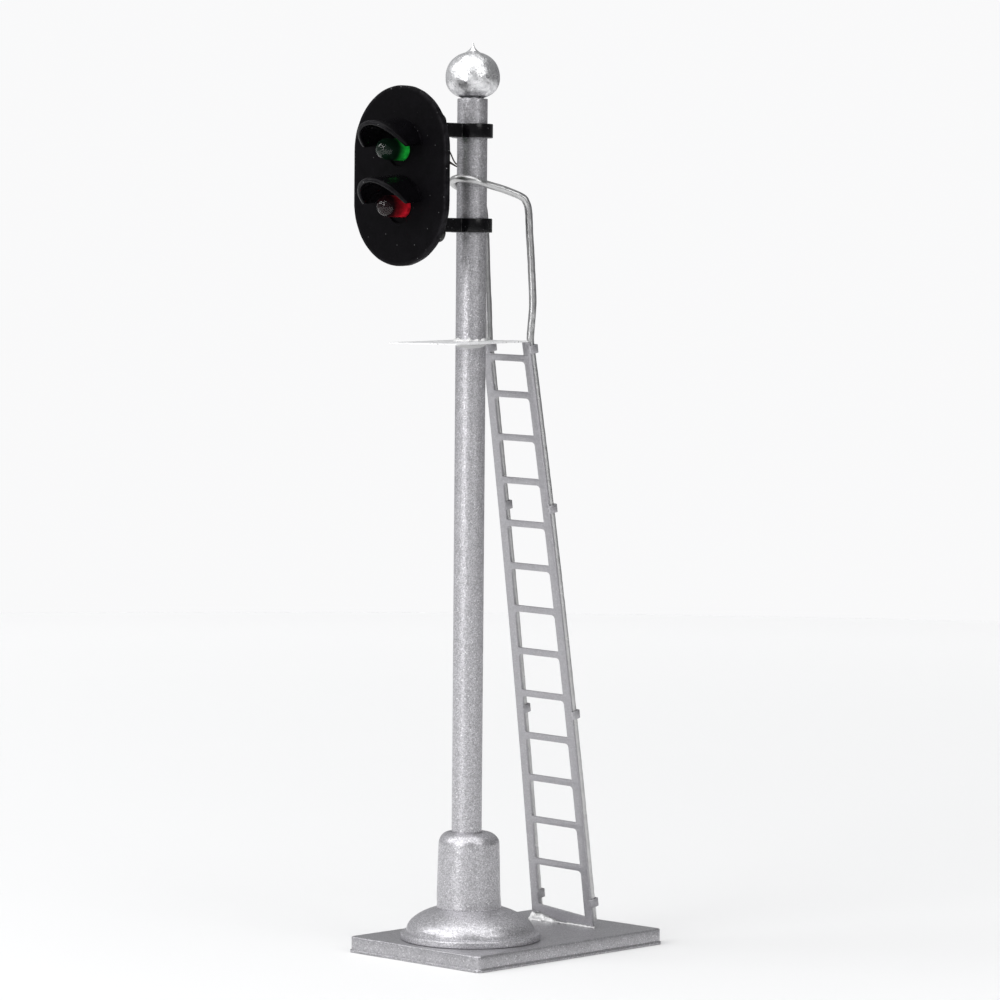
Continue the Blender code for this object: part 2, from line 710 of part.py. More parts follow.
def main():
    clear_scene()
    silver = material("silver_paint", (0.62, 0.62, 0.63), 0.42, 0.85)
    chrome = material("bright_silver", (0.83, 0.83, 0.84), 0.16, 1.0)
    black = material("black_plastic", (0.012, 0.012, 0.014), 0.38)
    green_epoxy = material("green_epoxy", (0.05, 0.42, 0.14), 0.08, alpha=0.8)
    red_epoxy = material("red_epoxy", (0.62, 0.05, 0.06), 0.08, alpha=0.8)
    tinned = material("tinned_wire", (0.75, 0.74, 0.70), 0.3, 1.0)
    enamel = material("black_enamel", (0.02, 0.018, 0.016), 0.35)

    make_base(silver)
    make_pedestal(silver)
    make_mast(silver)
    make_finial(chrome)

    head = empty("head_axis", Matrix.Translation((0, MAST_Y, 0)))
    make_target_plate(black, head)
    make_housing(black, head)
    for name in CLIP_CENTRES:
        make_bracket(name, black, head)
    lamps = (("green", 1, green_epoxy), ("red", -1, red_epoxy))
    for colour, side, epoxy in lamps:
        height = PLATE_CENTRE + side * LAMP_OFFSET
        make_hood(f"hood_{colour}", height, black, head)
        make_led(f"led_{colour}", height - LED_DROP, epoxy, head)
        make_leg(f"led_{colour}_anode", 1, height - LED_DROP, -side, tinned, head)
        make_leg(f"led_{colour}_cathode", -1, height - LED_DROP, -side, tinned, head)

    ladder = empty("ladder_foot", ladder_matrix())
    make_ladder(silver, ladder)
    make_handrail(silver)
    make_platform(silver)
    make_collar(silver)
    make_wires(enamel)


main()
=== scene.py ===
"""The looks of the model signal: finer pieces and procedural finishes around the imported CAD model.

Metres, +Z up, in the CAD's own frame: the lamps face -Y and the origin is under the base plate.
"""

import json
from math import acos, atan2, cos, pi, radians, sin, sqrt

import bmesh
import bpy
from mathutils import Matrix, Vector, noise

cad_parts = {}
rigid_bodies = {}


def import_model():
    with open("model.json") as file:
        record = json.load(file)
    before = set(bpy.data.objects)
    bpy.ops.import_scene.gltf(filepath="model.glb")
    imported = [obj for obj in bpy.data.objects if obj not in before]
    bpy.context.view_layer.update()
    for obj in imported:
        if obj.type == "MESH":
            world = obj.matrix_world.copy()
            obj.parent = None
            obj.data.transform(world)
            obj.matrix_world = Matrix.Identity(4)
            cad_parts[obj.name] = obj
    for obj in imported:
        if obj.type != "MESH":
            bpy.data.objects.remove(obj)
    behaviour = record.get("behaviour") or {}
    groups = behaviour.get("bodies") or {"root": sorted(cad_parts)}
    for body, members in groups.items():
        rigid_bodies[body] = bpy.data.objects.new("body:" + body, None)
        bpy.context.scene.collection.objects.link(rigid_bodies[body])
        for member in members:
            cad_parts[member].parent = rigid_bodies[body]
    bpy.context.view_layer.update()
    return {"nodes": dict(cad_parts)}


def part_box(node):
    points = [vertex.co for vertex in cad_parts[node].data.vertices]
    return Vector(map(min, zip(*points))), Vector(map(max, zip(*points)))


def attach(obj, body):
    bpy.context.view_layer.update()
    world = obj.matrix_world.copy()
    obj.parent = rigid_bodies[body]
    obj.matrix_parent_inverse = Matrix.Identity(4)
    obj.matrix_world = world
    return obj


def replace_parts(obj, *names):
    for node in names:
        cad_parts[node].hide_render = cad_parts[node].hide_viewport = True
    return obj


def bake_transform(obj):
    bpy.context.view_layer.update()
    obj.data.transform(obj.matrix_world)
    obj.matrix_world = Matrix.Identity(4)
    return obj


for start_up in list(bpy.data.objects):
    bpy.data.objects.remove(start_up)

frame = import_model()

MM = 0.001
UP = Vector((0, 0, 1))

# Places read from the CAD model
BASE_LOW, BASE_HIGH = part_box("base_plate")
MAST_LOW, MAST_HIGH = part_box("mast_tube")
PLATE_LOW, PLATE_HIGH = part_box("target_plate")
HOUSING_LOW, HOUSING_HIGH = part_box("rear_housing")
PEDESTAL_LOW, PEDESTAL_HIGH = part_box("pedestal")
FINIAL_LOW, FINIAL_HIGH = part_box("ball_finial")
AXIS = Vector(((MAST_LOW.x + MAST_HIGH.x) / 2, (MAST_LOW.y + MAST_HIGH.y) / 2, 0))
MAST_RADIUS = (MAST_HIGH.x - MAST_LOW.x) / 2
BASE_TOP = BASE_HIGH.z
FACE_Y = PLATE_LOW.y
PLATE_CENTRE = (PLATE_LOW.z + PLATE_HIGH.z) / 2

CONTACT_GAP = 0.04 * MM
CLEAR_RADIUS = MAST_RADIUS + 0.05 * MM

# The floor, and how bright the room's reflections are on the camera's left and right
FLOOR_RADIUS = 0.6
ROOM_LIGHT = (0.42, 0.12)
LIGHT_DISTANCE = 0.7

# Camera
CAMERA_PLACE = Vector((402.04, -421.78, 92.07)) * MM
CAMERA_AZIMUTH = radians(43.772)
CAMERA_DIP = radians(2.917)
CAMERA_ROLL = radians(0.488)
CAMERA_LENS = 151.8

# Base plate
BASE_CORNER = 0.6 * MM
LIP_HEIGHT = 0.42 * MM
LIP_REACH = 0.18 * MM
MAST_BORE = 1.6 * MM

# Pedestal
RIM_RADIUS = 9.65 * MM
RIM_TOP = 3.15 * MM
BELL_RADIUS = 8.85 * MM
BELL_FOOT = 3.27 * MM
BELL_HEIGHT = 3.9 * MM
BELL_SQUASH = 1.1
BODY_FOOT_RADIUS = 4.44 * MM
BODY_TAPER = 0.23 * MM
SHOULDER_RADIUS = 1.7 * MM
PEDESTAL_DRIFT = Vector((0.48, 0.46, 0)) * MM

# Ball finial
BALL_RADIUS = 3.72 * MM
BALL_CENTRE = 120.3 * MM
BALL_DEPTH = 2.93 * MM
BALL_RISE = 3.5 * MM
BALL_SEAM = radians(-37)
NECK_RADIUS = 1.52 * MM
SPIKE_FOOT_RADIUS = 1.05 * MM
SPIKE_TIP_RADIUS = 0.12 * MM

# Lamps
LAMP_OFFSET = 3.8 * MM
LED_DROP = 0.3 * MM
LED_RADIUS = 1.47 * MM
LED_TIP = 3.9 * MM
LED_SKIN = 0.2 * MM
RED_SHIFT = 0.25 * MM
LED_ROOT = 1.0 * MM
LED_HOLE_GAP = 0.08 * MM
RECESS_RADIUS = 2.3 * MM
RECESS_DEPTH = 0.4 * MM

# Hoods
HOOD_RADIUS = 4.42 * MM
HOOD_WALL = 0.62 * MM
HOOD_DROP = 0.45 * MM
HOOD_DROOP = 0.1
HOOD_LEVEL_REACH = 1.91 * MM
HOOD_REACH_SLOPE = 5.13 * MM
HOOD_REACH_CURVE = 1.29 * MM
HOOD_HALF_ANGLE = radians(80)

# Housing and clips
HOUSING_WALL = 0.6 * MM
HOUSING_CORNER = 1.3 * MM
HOUSING_EDGE = 0.35 * MM
WIRE_SLOT_RADIUS = 0.7 * MM
WIRE_SLOT_STRAIGHT = 1.8 * MM
WIRE_SLOT_CENTRE = 109.0 * MM
ARM_HALF_WIDTH = 0.75 * MM
PAD_HALF_WIDTH = 1.7 * MM
PAD_THICKNESS = 0.6 * MM

# Ladder
LADDER_FOOT = Vector((0.0, 11.5 * MM, BASE_TOP + 0.22 * MM))
LADDER_LEAN = radians(10.1)
LADDER_ROLL = radians(1.25)
LADDER_LENGTH = 83.35 * MM
LADDER_BOW = 0.5 * MM
LADDER_FOOT_WIDTH = 11.55 * MM
LADDER_TOP_WIDTH = 9.0 * MM
SHEET = 0.36 * MM
SHEET_EDGE = 0.05 * MM
STRINGER_WIDTH = 1.35 * MM
EVEN_RUNGS = 12
RUNG_PITCH = 6.124 * MM
RUNG_HEIGHT = 0.9 * MM
FIRST_RUNG = 8.45 * MM
TOP_RUNG = 80.98 * MM
FOOT_BAR_HEIGHTS = (2.1 * MM, 1.4 * MM)
LEFT_FOOT_LIFT = 1.0 * MM
UPPER_CORNER = 0.6 * MM
LOWER_CORNER = 0.2 * MM
TAB_HEIGHTS = (3.4 * MM, 30.5 * MM, 59.8 * MM, 82.2 * MM)
TAB_LENGTH = 1.15 * MM
TAB_THICKNESS = 0.26 * MM
TAB_FOOT = 0.35 * MM
TAB_SQUARENESS = 4

# Handrail
ROD_RADIUS = 0.51 * MM
ROD_INSET = 0.6 * MM
ROD_FOOT = 0.7 * MM
LOOP_HEIGHTS = (105.45, 105.8, 106.15, 106.4, 106.55, 106.5, 106.3, 106.05, 105.8)

# Platform
PLATFORM_LOW, PLATFORM_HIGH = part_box("work_platform")
COLLAR_DEEPEST = radians(44)
PLATFORM_LIFT = 0.06 * MM
PLATFORM_SLOPE = 0.026

# Lamp legs and wires
LEG_SPACING = 2.54 * MM
LEG_DROP = 1.5 * MM
WIRE_RADIUS = 0.1 * MM
WIRE_HOLE_RADIUS = 0.5 * MM
WIRE_HOLE_HEIGHT = 108.3 * MM
WIRE_HOLE_TURN = radians(-50)
WIRE_LANE = 0.8 * MM
WIRE_SPACING = 0.21 * MM


# Shader nodes


def fill(tree, socket, value):
    """Links a socket's source, or sets its value."""
    if isinstance(value, bpy.types.NodeSocket):
        tree.links.new(value, socket)
    else:
        socket.default_value = value


def add_node(tree, kind, output, inputs, **settings):
    """Adds a node, fills its inputs by name or place, and returns the output asked for."""
    node = tree.nodes.new(f"ShaderNode{kind}")
    for name, value in settings.items():
        setattr(node, name, value)
    for place, value in inputs.items():
        fill(tree, node.inputs[place], value)
    return node.outputs[output]


class Surface:
    """A material and its node tree, with short calls for the nodes that the finishes share."""

    def __init__(self, name, colour, roughness, metallic=0.0):
        self.material = bpy.data.materials.new(name)
        self.material.use_nodes = True
        self.tree = self.material.node_tree
        self.shader = self.tree.nodes["Principled BSDF"]
        self.drive("Base Color", (*colour, 1.0))
        self.drive("Roughness", roughness)
        self.drive("Metallic", metallic)
        self.mm = self.vector("MULTIPLY", self.node("TexCoord", "Object", {}), (1000, 1000, 1000))

    def drive(self, socket, source):
        fill(self.tree, self.shader.inputs[socket], source)

    def node(self, kind, output, inputs, **settings):
        return add_node(self.tree, kind, output, inputs, **settings)

    def math(self, operation, a, b):
        return self.node("Math", 0, {0: a, 1: b}, operation=operation)

    def vector(self, operation, a, b=(0, 0, 0)):
        return self.node("VectorMath", "Vector", {0: a, 1: b}, operation=operation)

    def axis(self, vector, name):
        return self.node("SeparateXYZ", name, {0: vector})

    def noise(self, per_mm, detail=3.0, roughness=0.55, distortion=0.0):
        inputs = {"Vector": self.mm, "Scale": per_mm, "Detail": detail, "Roughness": roughness}
        return self.node("TexNoise", "Fac", {**inputs, "Distortion": distortion})

    def cells(self, per_mm, output="Color"):
        return self.node("TexVoronoi", output, {"Vector": self.mm, "Scale": per_mm})

    def spread(self, value, low, high, to_low, to_high):
        """The value from low to high, mapped to the other range and kept inside it."""
        return self.node("MapRange", 0, dict(enumerate((value, low, high, to_low, to_high))))

    def cloud(self, per_mm, detail, low, high, roughness=0.55):
        """Soft patches of values between low and high."""
        return self.spread(self.noise(per_mm, detail, roughness), 0.3, 0.7, low, high)

    def mix(self, share, a, b):
        a, b = [tone if isinstance(tone, bpy.types.NodeSocket) else (*tone, 1.0) for tone in (a, b)]
        return self.node("Mix", 2, {"Factor": share, 6: a, 7: b}, data_type="RGBA")

    def attribute(self, name):
        return self.node("Attribute", "Fac", {}, attribute_name=name)

    def bump(self, height, depth_mm, normal=None):
        inputs = {"Strength": 1.0, "Distance": depth_mm * MM, "Height": height}
        if normal is not None:
            inputs["Normal"] = normal
        return self.node("Bump", "Normal", inputs)

    def flakes(self, per_mm, tilt):
        """The surface's normal, tipped a random way in each small cell, as metal flakes in paint lie."""
        either_way = self.vector("SUBTRACT", self.cells(per_mm), (0.5, 0.5, 0.5))
        tipped = self.vector("MULTIPLY", either_way, (tilt, tilt, tilt))
        level = self.node("NewGeometry", "Normal", {})
        return self.vector("NORMALIZE", self.vector("ADD", level, tipped))


# Finishes


def silver_paint(name, tone, roughness, tilt, glitter, lumps):
    """Sprayed silver: light and dark flakes that tip the light about, on an orange-peel skin."""
    made = Surface(name, (tone, tone, tone * 1.03), roughness, 0.72)
    flake = made.cells(7.5)
    cover = made.noise(0.45, 4.0)
    flake_share = made.math("MULTIPLY", made.axis(flake, "X"), 0.8)
    shade = made.math("ADD", flake_share, made.math("MULTIPLY", cover, 0.15))
    tint = (tone, tone * 0.985, tone * 1.03)
    dark = [part * (1 - 0.38 * glitter) for part in tint]
    light = [part * (1 + 0.3 * glitter) for part in tint]
    colour = made.mix(made.spread(shade, 0.05, 0.9, 0.0, 1.0), dark, light)
    spark = made.spread(made.axis(flake, "Y"), 0.93, 0.99, 0.0, 0.7 * glitter)
    made.drive("Base Color", made.mix(spark, colour, (0.95, 0.95, 0.96)))
    made.drive("Roughness", made.spread(made.axis(flake, "Z"), 0.0, 1.0, roughness * 1.15, roughness * 0.85))
    normal = made.bump(made.noise(0.9, 2.0), lumps, made.flakes(9.0, tilt))
    made.drive("Normal", made.bump(made.noise(5.0, 2.0), lumps * 0.4, normal))
    return made.material


def bright_silver():
    """Soft metal, dented and rubbed, brighter where clean and darker where stained, with painted shade
    darkening it low down.
    """
    made = Surface("bright_silver_finish", (0.85, 0.85, 0.86), 0.3, 0.9)
    stain = made.spread(made.noise(0.6, 5.0, 0.6, 0.6), 0.35, 0.65, 0.0, 1.0)
    clean = made.mix(stain, (0.76, 0.76, 0.77), (0.97, 0.97, 0.98))
    # Painted shade: blotchy darkening of the ball's lower part.
    low = made.spread(made.axis(made.mm, "Z"), 117.6, 120.4, 1.0, 0.0)
    painted_low_shade = made.math("MULTIPLY", low, made.spread(made.noise(0.9, 4.0, 0.6, 0.4), 0.35, 0.6, 0.1, 0.9))
    made.drive("Base Color", made.mix(painted_low_shade, clean, (0.24, 0.24, 0.26)))
    made.drive("Roughness", made.cloud(1.4, 4.0, 0.24, 0.38))
    coarse = made.bump(made.noise(0.9, 3.0, 0.6, 0.5), 0.15)
    made.drive("Normal", made.bump(made.noise(4.5, 3.0), 0.03, coarse))
    return made.material


def smooth_silver(name, tone, roughness):
    """Tinned rod or sheet: smooth and a little cloudy."""
    made = Surface(name, (tone, tone, tone * 1.01), roughness, 0.9)
    cloud = made.cloud(0.8, 5.0, 0.0, 1.0, 0.6)
    made.drive("Base Color", made.mix(cloud, [tone * 0.85] * 3, [tone * 1.1] * 3))
    made.drive("Roughness", made.cloud(1.7, 3.0, roughness * 0.85, roughness * 1.2))
    coarse = made.bump(made.noise(1.1, 2.0), 0.03)
    made.drive("Normal", made.bump(made.noise(4.0, 2.0), 0.002, coarse))
    return made.material


def black_plastic(name, roughness, specular, rim=0.0, dust=0.3, specks_per_mm=0.8):
    """Black plastic, lighter along its rims where the rim value is high: wear, and on the hoods also painted
    highlight. A few specks of dust and chips.
    """
    made = Surface(name, (0.004, 0.0037, 0.0046), roughness, 0.0)
    made.drive("Specular IOR Level", specular)
    mottle = made.spread(made.noise(0.7, 5.0, 0.65), 0.35, 0.75, 0.0, 1.0)
    colour = made.mix(mottle, (0.0018, 0.0016, 0.0021), (0.0036, 0.0032, 0.0042))
    speck = made.spread(made.cells(specks_per_mm, "Distance"), 0.02, 0.07, dust, 0.0)
    colour = made.mix(speck, colour, (0.4, 0.4, 0.41))
    if rim:
        # Lighter rims: wear, and on the hoods also painted highlight.
        rim_weight = made.attribute("rim")
        patches = made.spread(made.noise(1.2, 3.0), 0.35, 0.65, 0.15, 1.0)
        rim_wear_and_highlight = made.math("MULTIPLY", made.math("MULTIPLY", rim_weight, patches), rim)
        colour = made.mix(rim_wear_and_highlight, colour, (0.05, 0.048, 0.054))
        chip = made.spread(made.noise(2.6, 2.0), 0.72, 0.76, 0.0, 1.0)
        colour = made.mix(made.math("MULTIPLY", rim_weight, chip), colour, (0.45, 0.45, 0.46))
    made.drive("Base Color", colour)
    made.drive("Roughness", made.cloud(1.1, 4.0, roughness * 0.85, roughness * 1.2))
    coarse = made.bump(made.noise(0.9, 2.0), 0.03)
    made.drive("Normal", made.bump(made.noise(9.0, 3.0), 0.006, coarse))
    return made.material


def tinted_epoxy(name, colour):
    """Clear tinted resin."""
    made = Surface(name, colour, 0.03)
    made.drive("Transmission Weight", 1.0)
    made.drive("IOR", 1.36)
    made.drive("Specular IOR Level", 0.2)
    made.drive("Roughness", made.cloud(0.9, 3.0, 0.01, 0.05))
    made.drive("Normal", made.bump(made.noise(0.8, 2.0), 0.001))
    return made.material


def lamp_heart_painted_glow(name, colour, dark):
    """Resin inside a lamp: coloured with a faint painted glow where its rim value is high, and dark
    elsewhere as painted shade.
    """
    made = Surface(name, dark, 0.5)
    made.drive("Specular IOR Level", 0.0)
    patches = made.spread(made.noise(1.1, 2.0), 0.35, 0.65, 0.45, 1.0)
    painted_glow = made.math("MULTIPLY", made.attribute("rim"), patches)
    shown = made.mix(painted_glow, dark, colour)
    made.drive("Base Color", shown)
    # The emission is a painted glow; the lamp itself is not switched on.
    made.drive("Emission Color", shown)
    made.drive("Emission Strength", 0.22)
    return made.material


def tinned_wire():
    made = Surface("tinned_wire_finish", (0.75, 0.74, 0.70), 0.3, 1.0)
    made.drive("Roughness", made.cloud(2.5, 3.0, 0.2, 0.42))
    made.drive("Normal", made.bump(made.noise(5.0, 3.0), 0.01))
    return made.material


def wire_enamel():
    made = Surface("wire_enamel_finish", (0.02, 0.014, 0.012), 0.3)
    made.drive("Base Color", made.mix(made.noise(1.2, 3.0), (0.012, 0.009, 0.009), (0.045, 0.026, 0.02)))
    made.drive("Roughness", made.cloud(2.0, 2.0, 0.22, 0.4))
    return made.material


def white_glue():
    made = Surface("dried_glue_finish", (0.8, 0.8, 0.79), 0.32, 0.25)
    made.drive("Base Color", made.mix(made.noise(1.5, 4.0), (0.62, 0.62, 0.62), (0.92, 0.92, 0.91)))
    made.drive("Normal", made.bump(made.noise(2.2, 4.0), 0.06))
    return made.material


def pale_deck():
    """The platform's thin sheet: very pale, with darker specks where its paint is rough."""
    made = Surface("pale_deck_finish", (0.9, 0.9, 0.9), 0.45, 0.2)
    pale = made.mix(made.noise(1.6, 4.0), (0.78, 0.78, 0.79), (0.96, 0.96, 0.96))
    speck = made.spread(made.noise(2.6, 3.0), 0.62, 0.7, 0.0, 0.8)
    made.drive("Base Color", made.mix(speck, pale, (0.3, 0.3, 0.31)))
    made.drive("Roughness", made.cloud(1.2, 3.0, 0.35, 0.55))
    made.drive("Normal", made.bump(made.noise(2.4, 3.0), 0.04))
    return made.material


# Mesh building


def add_object(name, data):
    made = bpy.data.objects.new(name, data)
    bpy.context.scene.collection.objects.link(made)
    return made


def mesh_object(name, bm, surface, smooth_angle):
    bmesh.ops.recalc_face_normals(bm, faces=bm.faces)
    mesh = bpy.data.meshes.new(name)
    bm.to_mesh(mesh)
    bm.free()
    mesh.shade_smooth()
    mesh.set_sharp_from_angle(angle=smooth_angle)
    mesh.materials.append(surface)
    return add_object(name, mesh)


def add_piece(name, bm, surface, body, smooth_angle=radians(40)):
    piece = mesh_object(name, bm, surface, smooth_angle)
    if body:
        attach(piece, body)
    return piece


def settle(piece):
    """Applies the piece's modifiers to its mesh, and finds the sharp edges of what they made."""
    graph = bpy.context.evaluated_depsgraph_get()
    made = bpy.data.meshes.new_from_object(piece.evaluated_get(graph))
    made.set_sharp_from_angle(angle=radians(50))
    piece.modifiers.clear()
    piece.data = made


def cut(piece, name, bm):
    """Takes the bmesh's shape out of the piece."""
    cutter = mesh_object(f"{name}_cutter", bm, piece.data.materials[0], radians(40))
    boolean = piece.modifiers.new(name, "BOOLEAN")
    boolean.object = cutter
    boolean.solver = "EXACT"
    settle(piece)
    bpy.data.objects.remove(cutter)


def round_edges(piece, width, segments):
    bevel = piece.modifiers.new("edges", "BEVEL")
    bevel.width = width
    bevel.segments = segments
    bevel.limit_method = "ANGLE"
    bevel.angle_limit = radians(50)
    settle(piece)


def bridge(bm, lower, upper):
    for i in range(len(lower)):
        bm.faces.new((lower[i - 1], lower[i], upper[i], upper[i - 1]))


def ring_stack(rings, closed=False):
    """A bmesh of rings joined in order: the last joined to the first if closed, else both capped."""
    bm = bmesh.new()
    loops = [[bm.verts.new(point) for point in ring] for ring in rings]
    for lower, upper in zip(loops, loops[1:]):
        bridge(bm, lower, upper)
    if closed:
        bridge(bm, loops[-1], loops[0])
    else:
        bm.faces.new(loops[0])
        bm.faces.new(loops[-1])
    return bm


def level_way(angle):
    """The level direction this far round from -Y towards +X."""
    return Vector((sin(angle), -cos(angle), 0))


def ring_round_mast(steps, section):
    """A closed ring whose section at each angle is given as points."""
    turns = [2 * pi * k / steps for k in range(steps)]
    return ring_stack([section(turn, level_way(turn)) for turn in turns], closed=True)


def revolve(profile, steps, centre, turn=None, wobble=None, closed=False):
    """The (radius, height) profile turned about Z. The wobble adds to a radius at (angle, height)."""
    rings = []
    for radius, height in profile:
        ring = []
        for k in range(steps):
            angle = 2 * pi * k / steps
            r = radius + (wobble(angle, height) if wobble else 0.0)
            ring.append(Vector((r * cos(angle), r * sin(angle), height)))
        rings.append(ring)
    if turn is not None:
        rings = [[turn @ p for p in ring] for ring in rings]
    rings = [[p + centre for p in ring] for ring in rings]
    return ring_stack(rings, closed)


def bore_shape(radius, low, high, steps):
    """A plain cylinder on the mast's axis, 1 mm longer than the stretch at each end."""
    return revolve([(radius, low - MM), (radius, high + MM)], steps, AXIS)


def arc(centre, radius, start, end, steps):
    """Points of an arc as (radius, height) pairs, from one angle to the other in degrees."""
    points = []
    for k in range(steps + 1):
        angle = radians(start + (end - start) * k / steps)
        points.append((centre[0] + radius * cos(angle), centre[1] + radius * sin(angle)))
    return points


def rounded_rectangle(half_x, half_y, corner, steps):
    points = []
    for turn, (sx, sy) in enumerate(((1, 1), (-1, 1), (-1, -1), (1, -1))):
        centre_x, centre_y = sx * (half_x - corner), sy * (half_y - corner)
        for k in range(steps + 1):
            angle = turn * pi / 2 + k / steps * pi / 2
            points.append((centre_x + corner * cos(angle), centre_y + corner * sin(angle)))
    return points


def piece_counts(outline, step):
    """How many pieces about one step long each side of a closed outline takes."""
    sides = zip(outline, outline[1:] + outline[:1])
    return [max(1, round(sqrt((bx - ax) ** 2 + (by - ay) ** 2) / step)) for (ax, ay), (bx, by) in sides]


def split_sides(outline, counts):
    """The outline with each side split into its count of pieces."""
    points = []
    for (ax, ay), (bx, by), count in zip(outline, outline[1:] + outline[:1], counts):
        points += [(ax + (bx - ax) * k / count, ay + (by - ay) * k / count) for k in range(count)]
    return points


def smooth_route(points, per_span):
    """Points read from a Catmull-Rom curve through the given ones."""
    route = [points[0]]
    padded = [2 * points[0] - points[1], *points, 2 * points[-1] - points[-2]]
    for a, b, c, d in zip(padded, padded[1:], padded[2:], padded[3:]):
        for k in range(1, per_span + 1):
            t = k / per_span
            square, cube = 2 * a - 5 * b + 4 * c - d, 3 * b - a - 3 * c + d
            route.append(0.5 * (2 * b + (c - a) * t + square * t * t + cube * t**3))
    return route


def tube_mesh(points, radius, sides, lump=0.0, lump_size=1.0 * MM):
    """A round tube along the points, with domed ends and, where asked, a slightly lumpy skin."""
    count = len(points)
    ahead = (points[1] - points[0]).normalized()
    side = ahead.orthogonal().normalized()
    rings = []
    for i, point in enumerate(points):
        before, after = points[max(i - 1, 0)], points[min(i + 1, count - 1)]
        along = (after - before).normalized()
        side = (side - along * side.dot(along)).normalized()
        across = along.cross(side)
        ring = []
        for k in range(sides):
            angle = 2 * pi * k / sides
            out = side * cos(angle) + across * sin(angle)
            r = radius + (lump * noise.noise((point + out * radius) / lump_size) if lump else 0.0)
            ring.append(point + out * r)
        rings.append((point, along, ring))

    def narrowed(end, share, reach):
        """The first or last ring drawn in and moved along the tube, for its domed end."""
        point, along, ring = rings[end]
        return [point + (p - point) * share + along * radius * reach for p in ring]

    shaped = [narrowed(0, 0.35, 0.02), narrowed(0, 0.75, -0.16)]
    shaped += [ring for _, _, ring in rings]
    shaped += [narrowed(-1, 0.75, 0.16), narrowed(-1, 0.35, -0.02)]
    return ring_stack(shaped)


def set_rim(piece, weight):
    """Stores a share at each point for the finish to read: how worn a rim is, with painted highlight added
    on the hoods, or in a lamp, how much painted glow it has.
    """
    rim = piece.data.attributes.new("rim", "FLOAT", "POINT")
    rim.data.foreach_set("value", [weight(v.co) for v in piece.data.vertices])


# Base, pedestal, mast and finial


def make_base(paint):
    """The plate, its lip and its worn edges, from levels of (height, how far they stand out)."""
    half_x = (BASE_HIGH.x - BASE_LOW.x) / 2 - LIP_REACH
    half_y = (BASE_HIGH.y - BASE_LOW.y) / 2 - LIP_REACH
    levels = [(0, LIP_REACH - 0.05 * MM), (0.05 * MM, LIP_REACH)]
    levels += [(LIP_HEIGHT - 0.1 * MM, LIP_REACH), (LIP_HEIGHT - 0.02 * MM, LIP_REACH - 0.07 * MM)]
    levels += [(LIP_HEIGHT, 0.03 * MM), (LIP_HEIGHT + 0.06 * MM, -0.02 * MM), (LIP_HEIGHT + 0.16 * MM, 0)]
    edge = ((0.2, 0), (0.12, -0.025), (0.045, -0.09), (0, -0.2), (0, -0.7))
    levels += [(BASE_TOP - down * MM, reach * MM) for down, reach in edge]
    counts = piece_counts(rounded_rectangle(half_x, half_y, BASE_CORNER, 6), 0.7 * MM)

    def roughened(x, y, height):
        if not 0 < height < BASE_TOP - 0.05 * MM:
            return (x, y, height)
        rough = 0.03 * MM * noise.noise(Vector((x, y, height * 3)) / (2.2 * MM))
        share = 1 + rough / sqrt(x * x + y * y)
        return (x * share, y * share, height)

    rings = []
    for height, reach in levels:
        corner = max(0.2 * MM, BASE_CORNER + reach)
        outline = rounded_rectangle(half_x + reach, half_y + reach, corner, 6)
        rings.append([roughened(x, y, height) for x, y in split_sides(outline, counts)])
    base = add_piece("base_block", ring_stack(rings), paint, None, radians(50))
    cut(base, "outlet", bore_shape(MAST_BORE, 0, BASE_TOP, 48))
    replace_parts(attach(base, "mast"), "base_plate")


def make_pedestal(paint):
    foot, top = PEDESTAL_LOW.z, PEDESTAL_HIGH.z
    profile = [(CLEAR_RADIUS, foot), (RIM_RADIUS - 0.2 * MM, foot)]
    profile += arc((RIM_RADIUS - 0.12 * MM, foot + 0.12 * MM), 0.12 * MM, -70, 0, 4)
    profile += arc((RIM_RADIUS - 0.2 * MM, RIM_TOP - 0.2 * MM), 0.2 * MM, 0, 90, 6)
    profile += [(BELL_RADIUS + 0.2 * MM, RIM_TOP - 0.02 * MM)]
    bell_end = acos((BODY_FOOT_RADIUS / BELL_RADIUS) ** (1 / BELL_SQUASH))
    for k in range(25):
        angle = bell_end * k / 24
        profile.append((BELL_RADIUS * cos(angle) ** BELL_SQUASH, BELL_FOOT + BELL_HEIGHT * sin(angle)))
    body_foot = profile[-1][1]
    profile.append((BODY_FOOT_RADIUS + 0.03 * MM, body_foot + 0.12 * MM))
    waist = BODY_FOOT_RADIUS - 0.01 * MM
    profile.append((waist, body_foot + 0.3 * MM))
    shoulder = top - SHOULDER_RADIUS
    for k in range(1, 5):
        share = k / 5
        profile.append((waist - BODY_TAPER * share, body_foot + (shoulder - body_foot) * share))
    profile += arc((waist - BODY_TAPER - SHOULDER_RADIUS, shoulder), SHOULDER_RADIUS, 0, 86, 14)
    profile += [(CLEAR_RADIUS + 0.2 * MM, top - 0.02 * MM), (CLEAR_RADIUS, top - 0.15 * MM)]

    def wobble(angle, height):
        at = Vector((cos(angle) * 3, sin(angle) * 3, height / MM * 0.6))
        return 0.025 * MM * noise.noise(at) if height > foot + 0.01 * MM else 0.0

    bm = revolve(profile, 220, AXIS, wobble=wobble, closed=True)
    for vert in bm.verts:
        out = (vert.co - AXIS).to_2d().length - CLEAR_RADIUS
        low = max(0.0, min(1.0, (8 * MM - vert.co.z) / (5 * MM)))
        vert.co += PEDESTAL_DRIFT * (0.5 + 0.5 * low) * max(0.0, min(1.0, out / (2 * MM)))
    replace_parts(add_piece("pedestal_casting", bm, paint, "mast"), "pedestal")


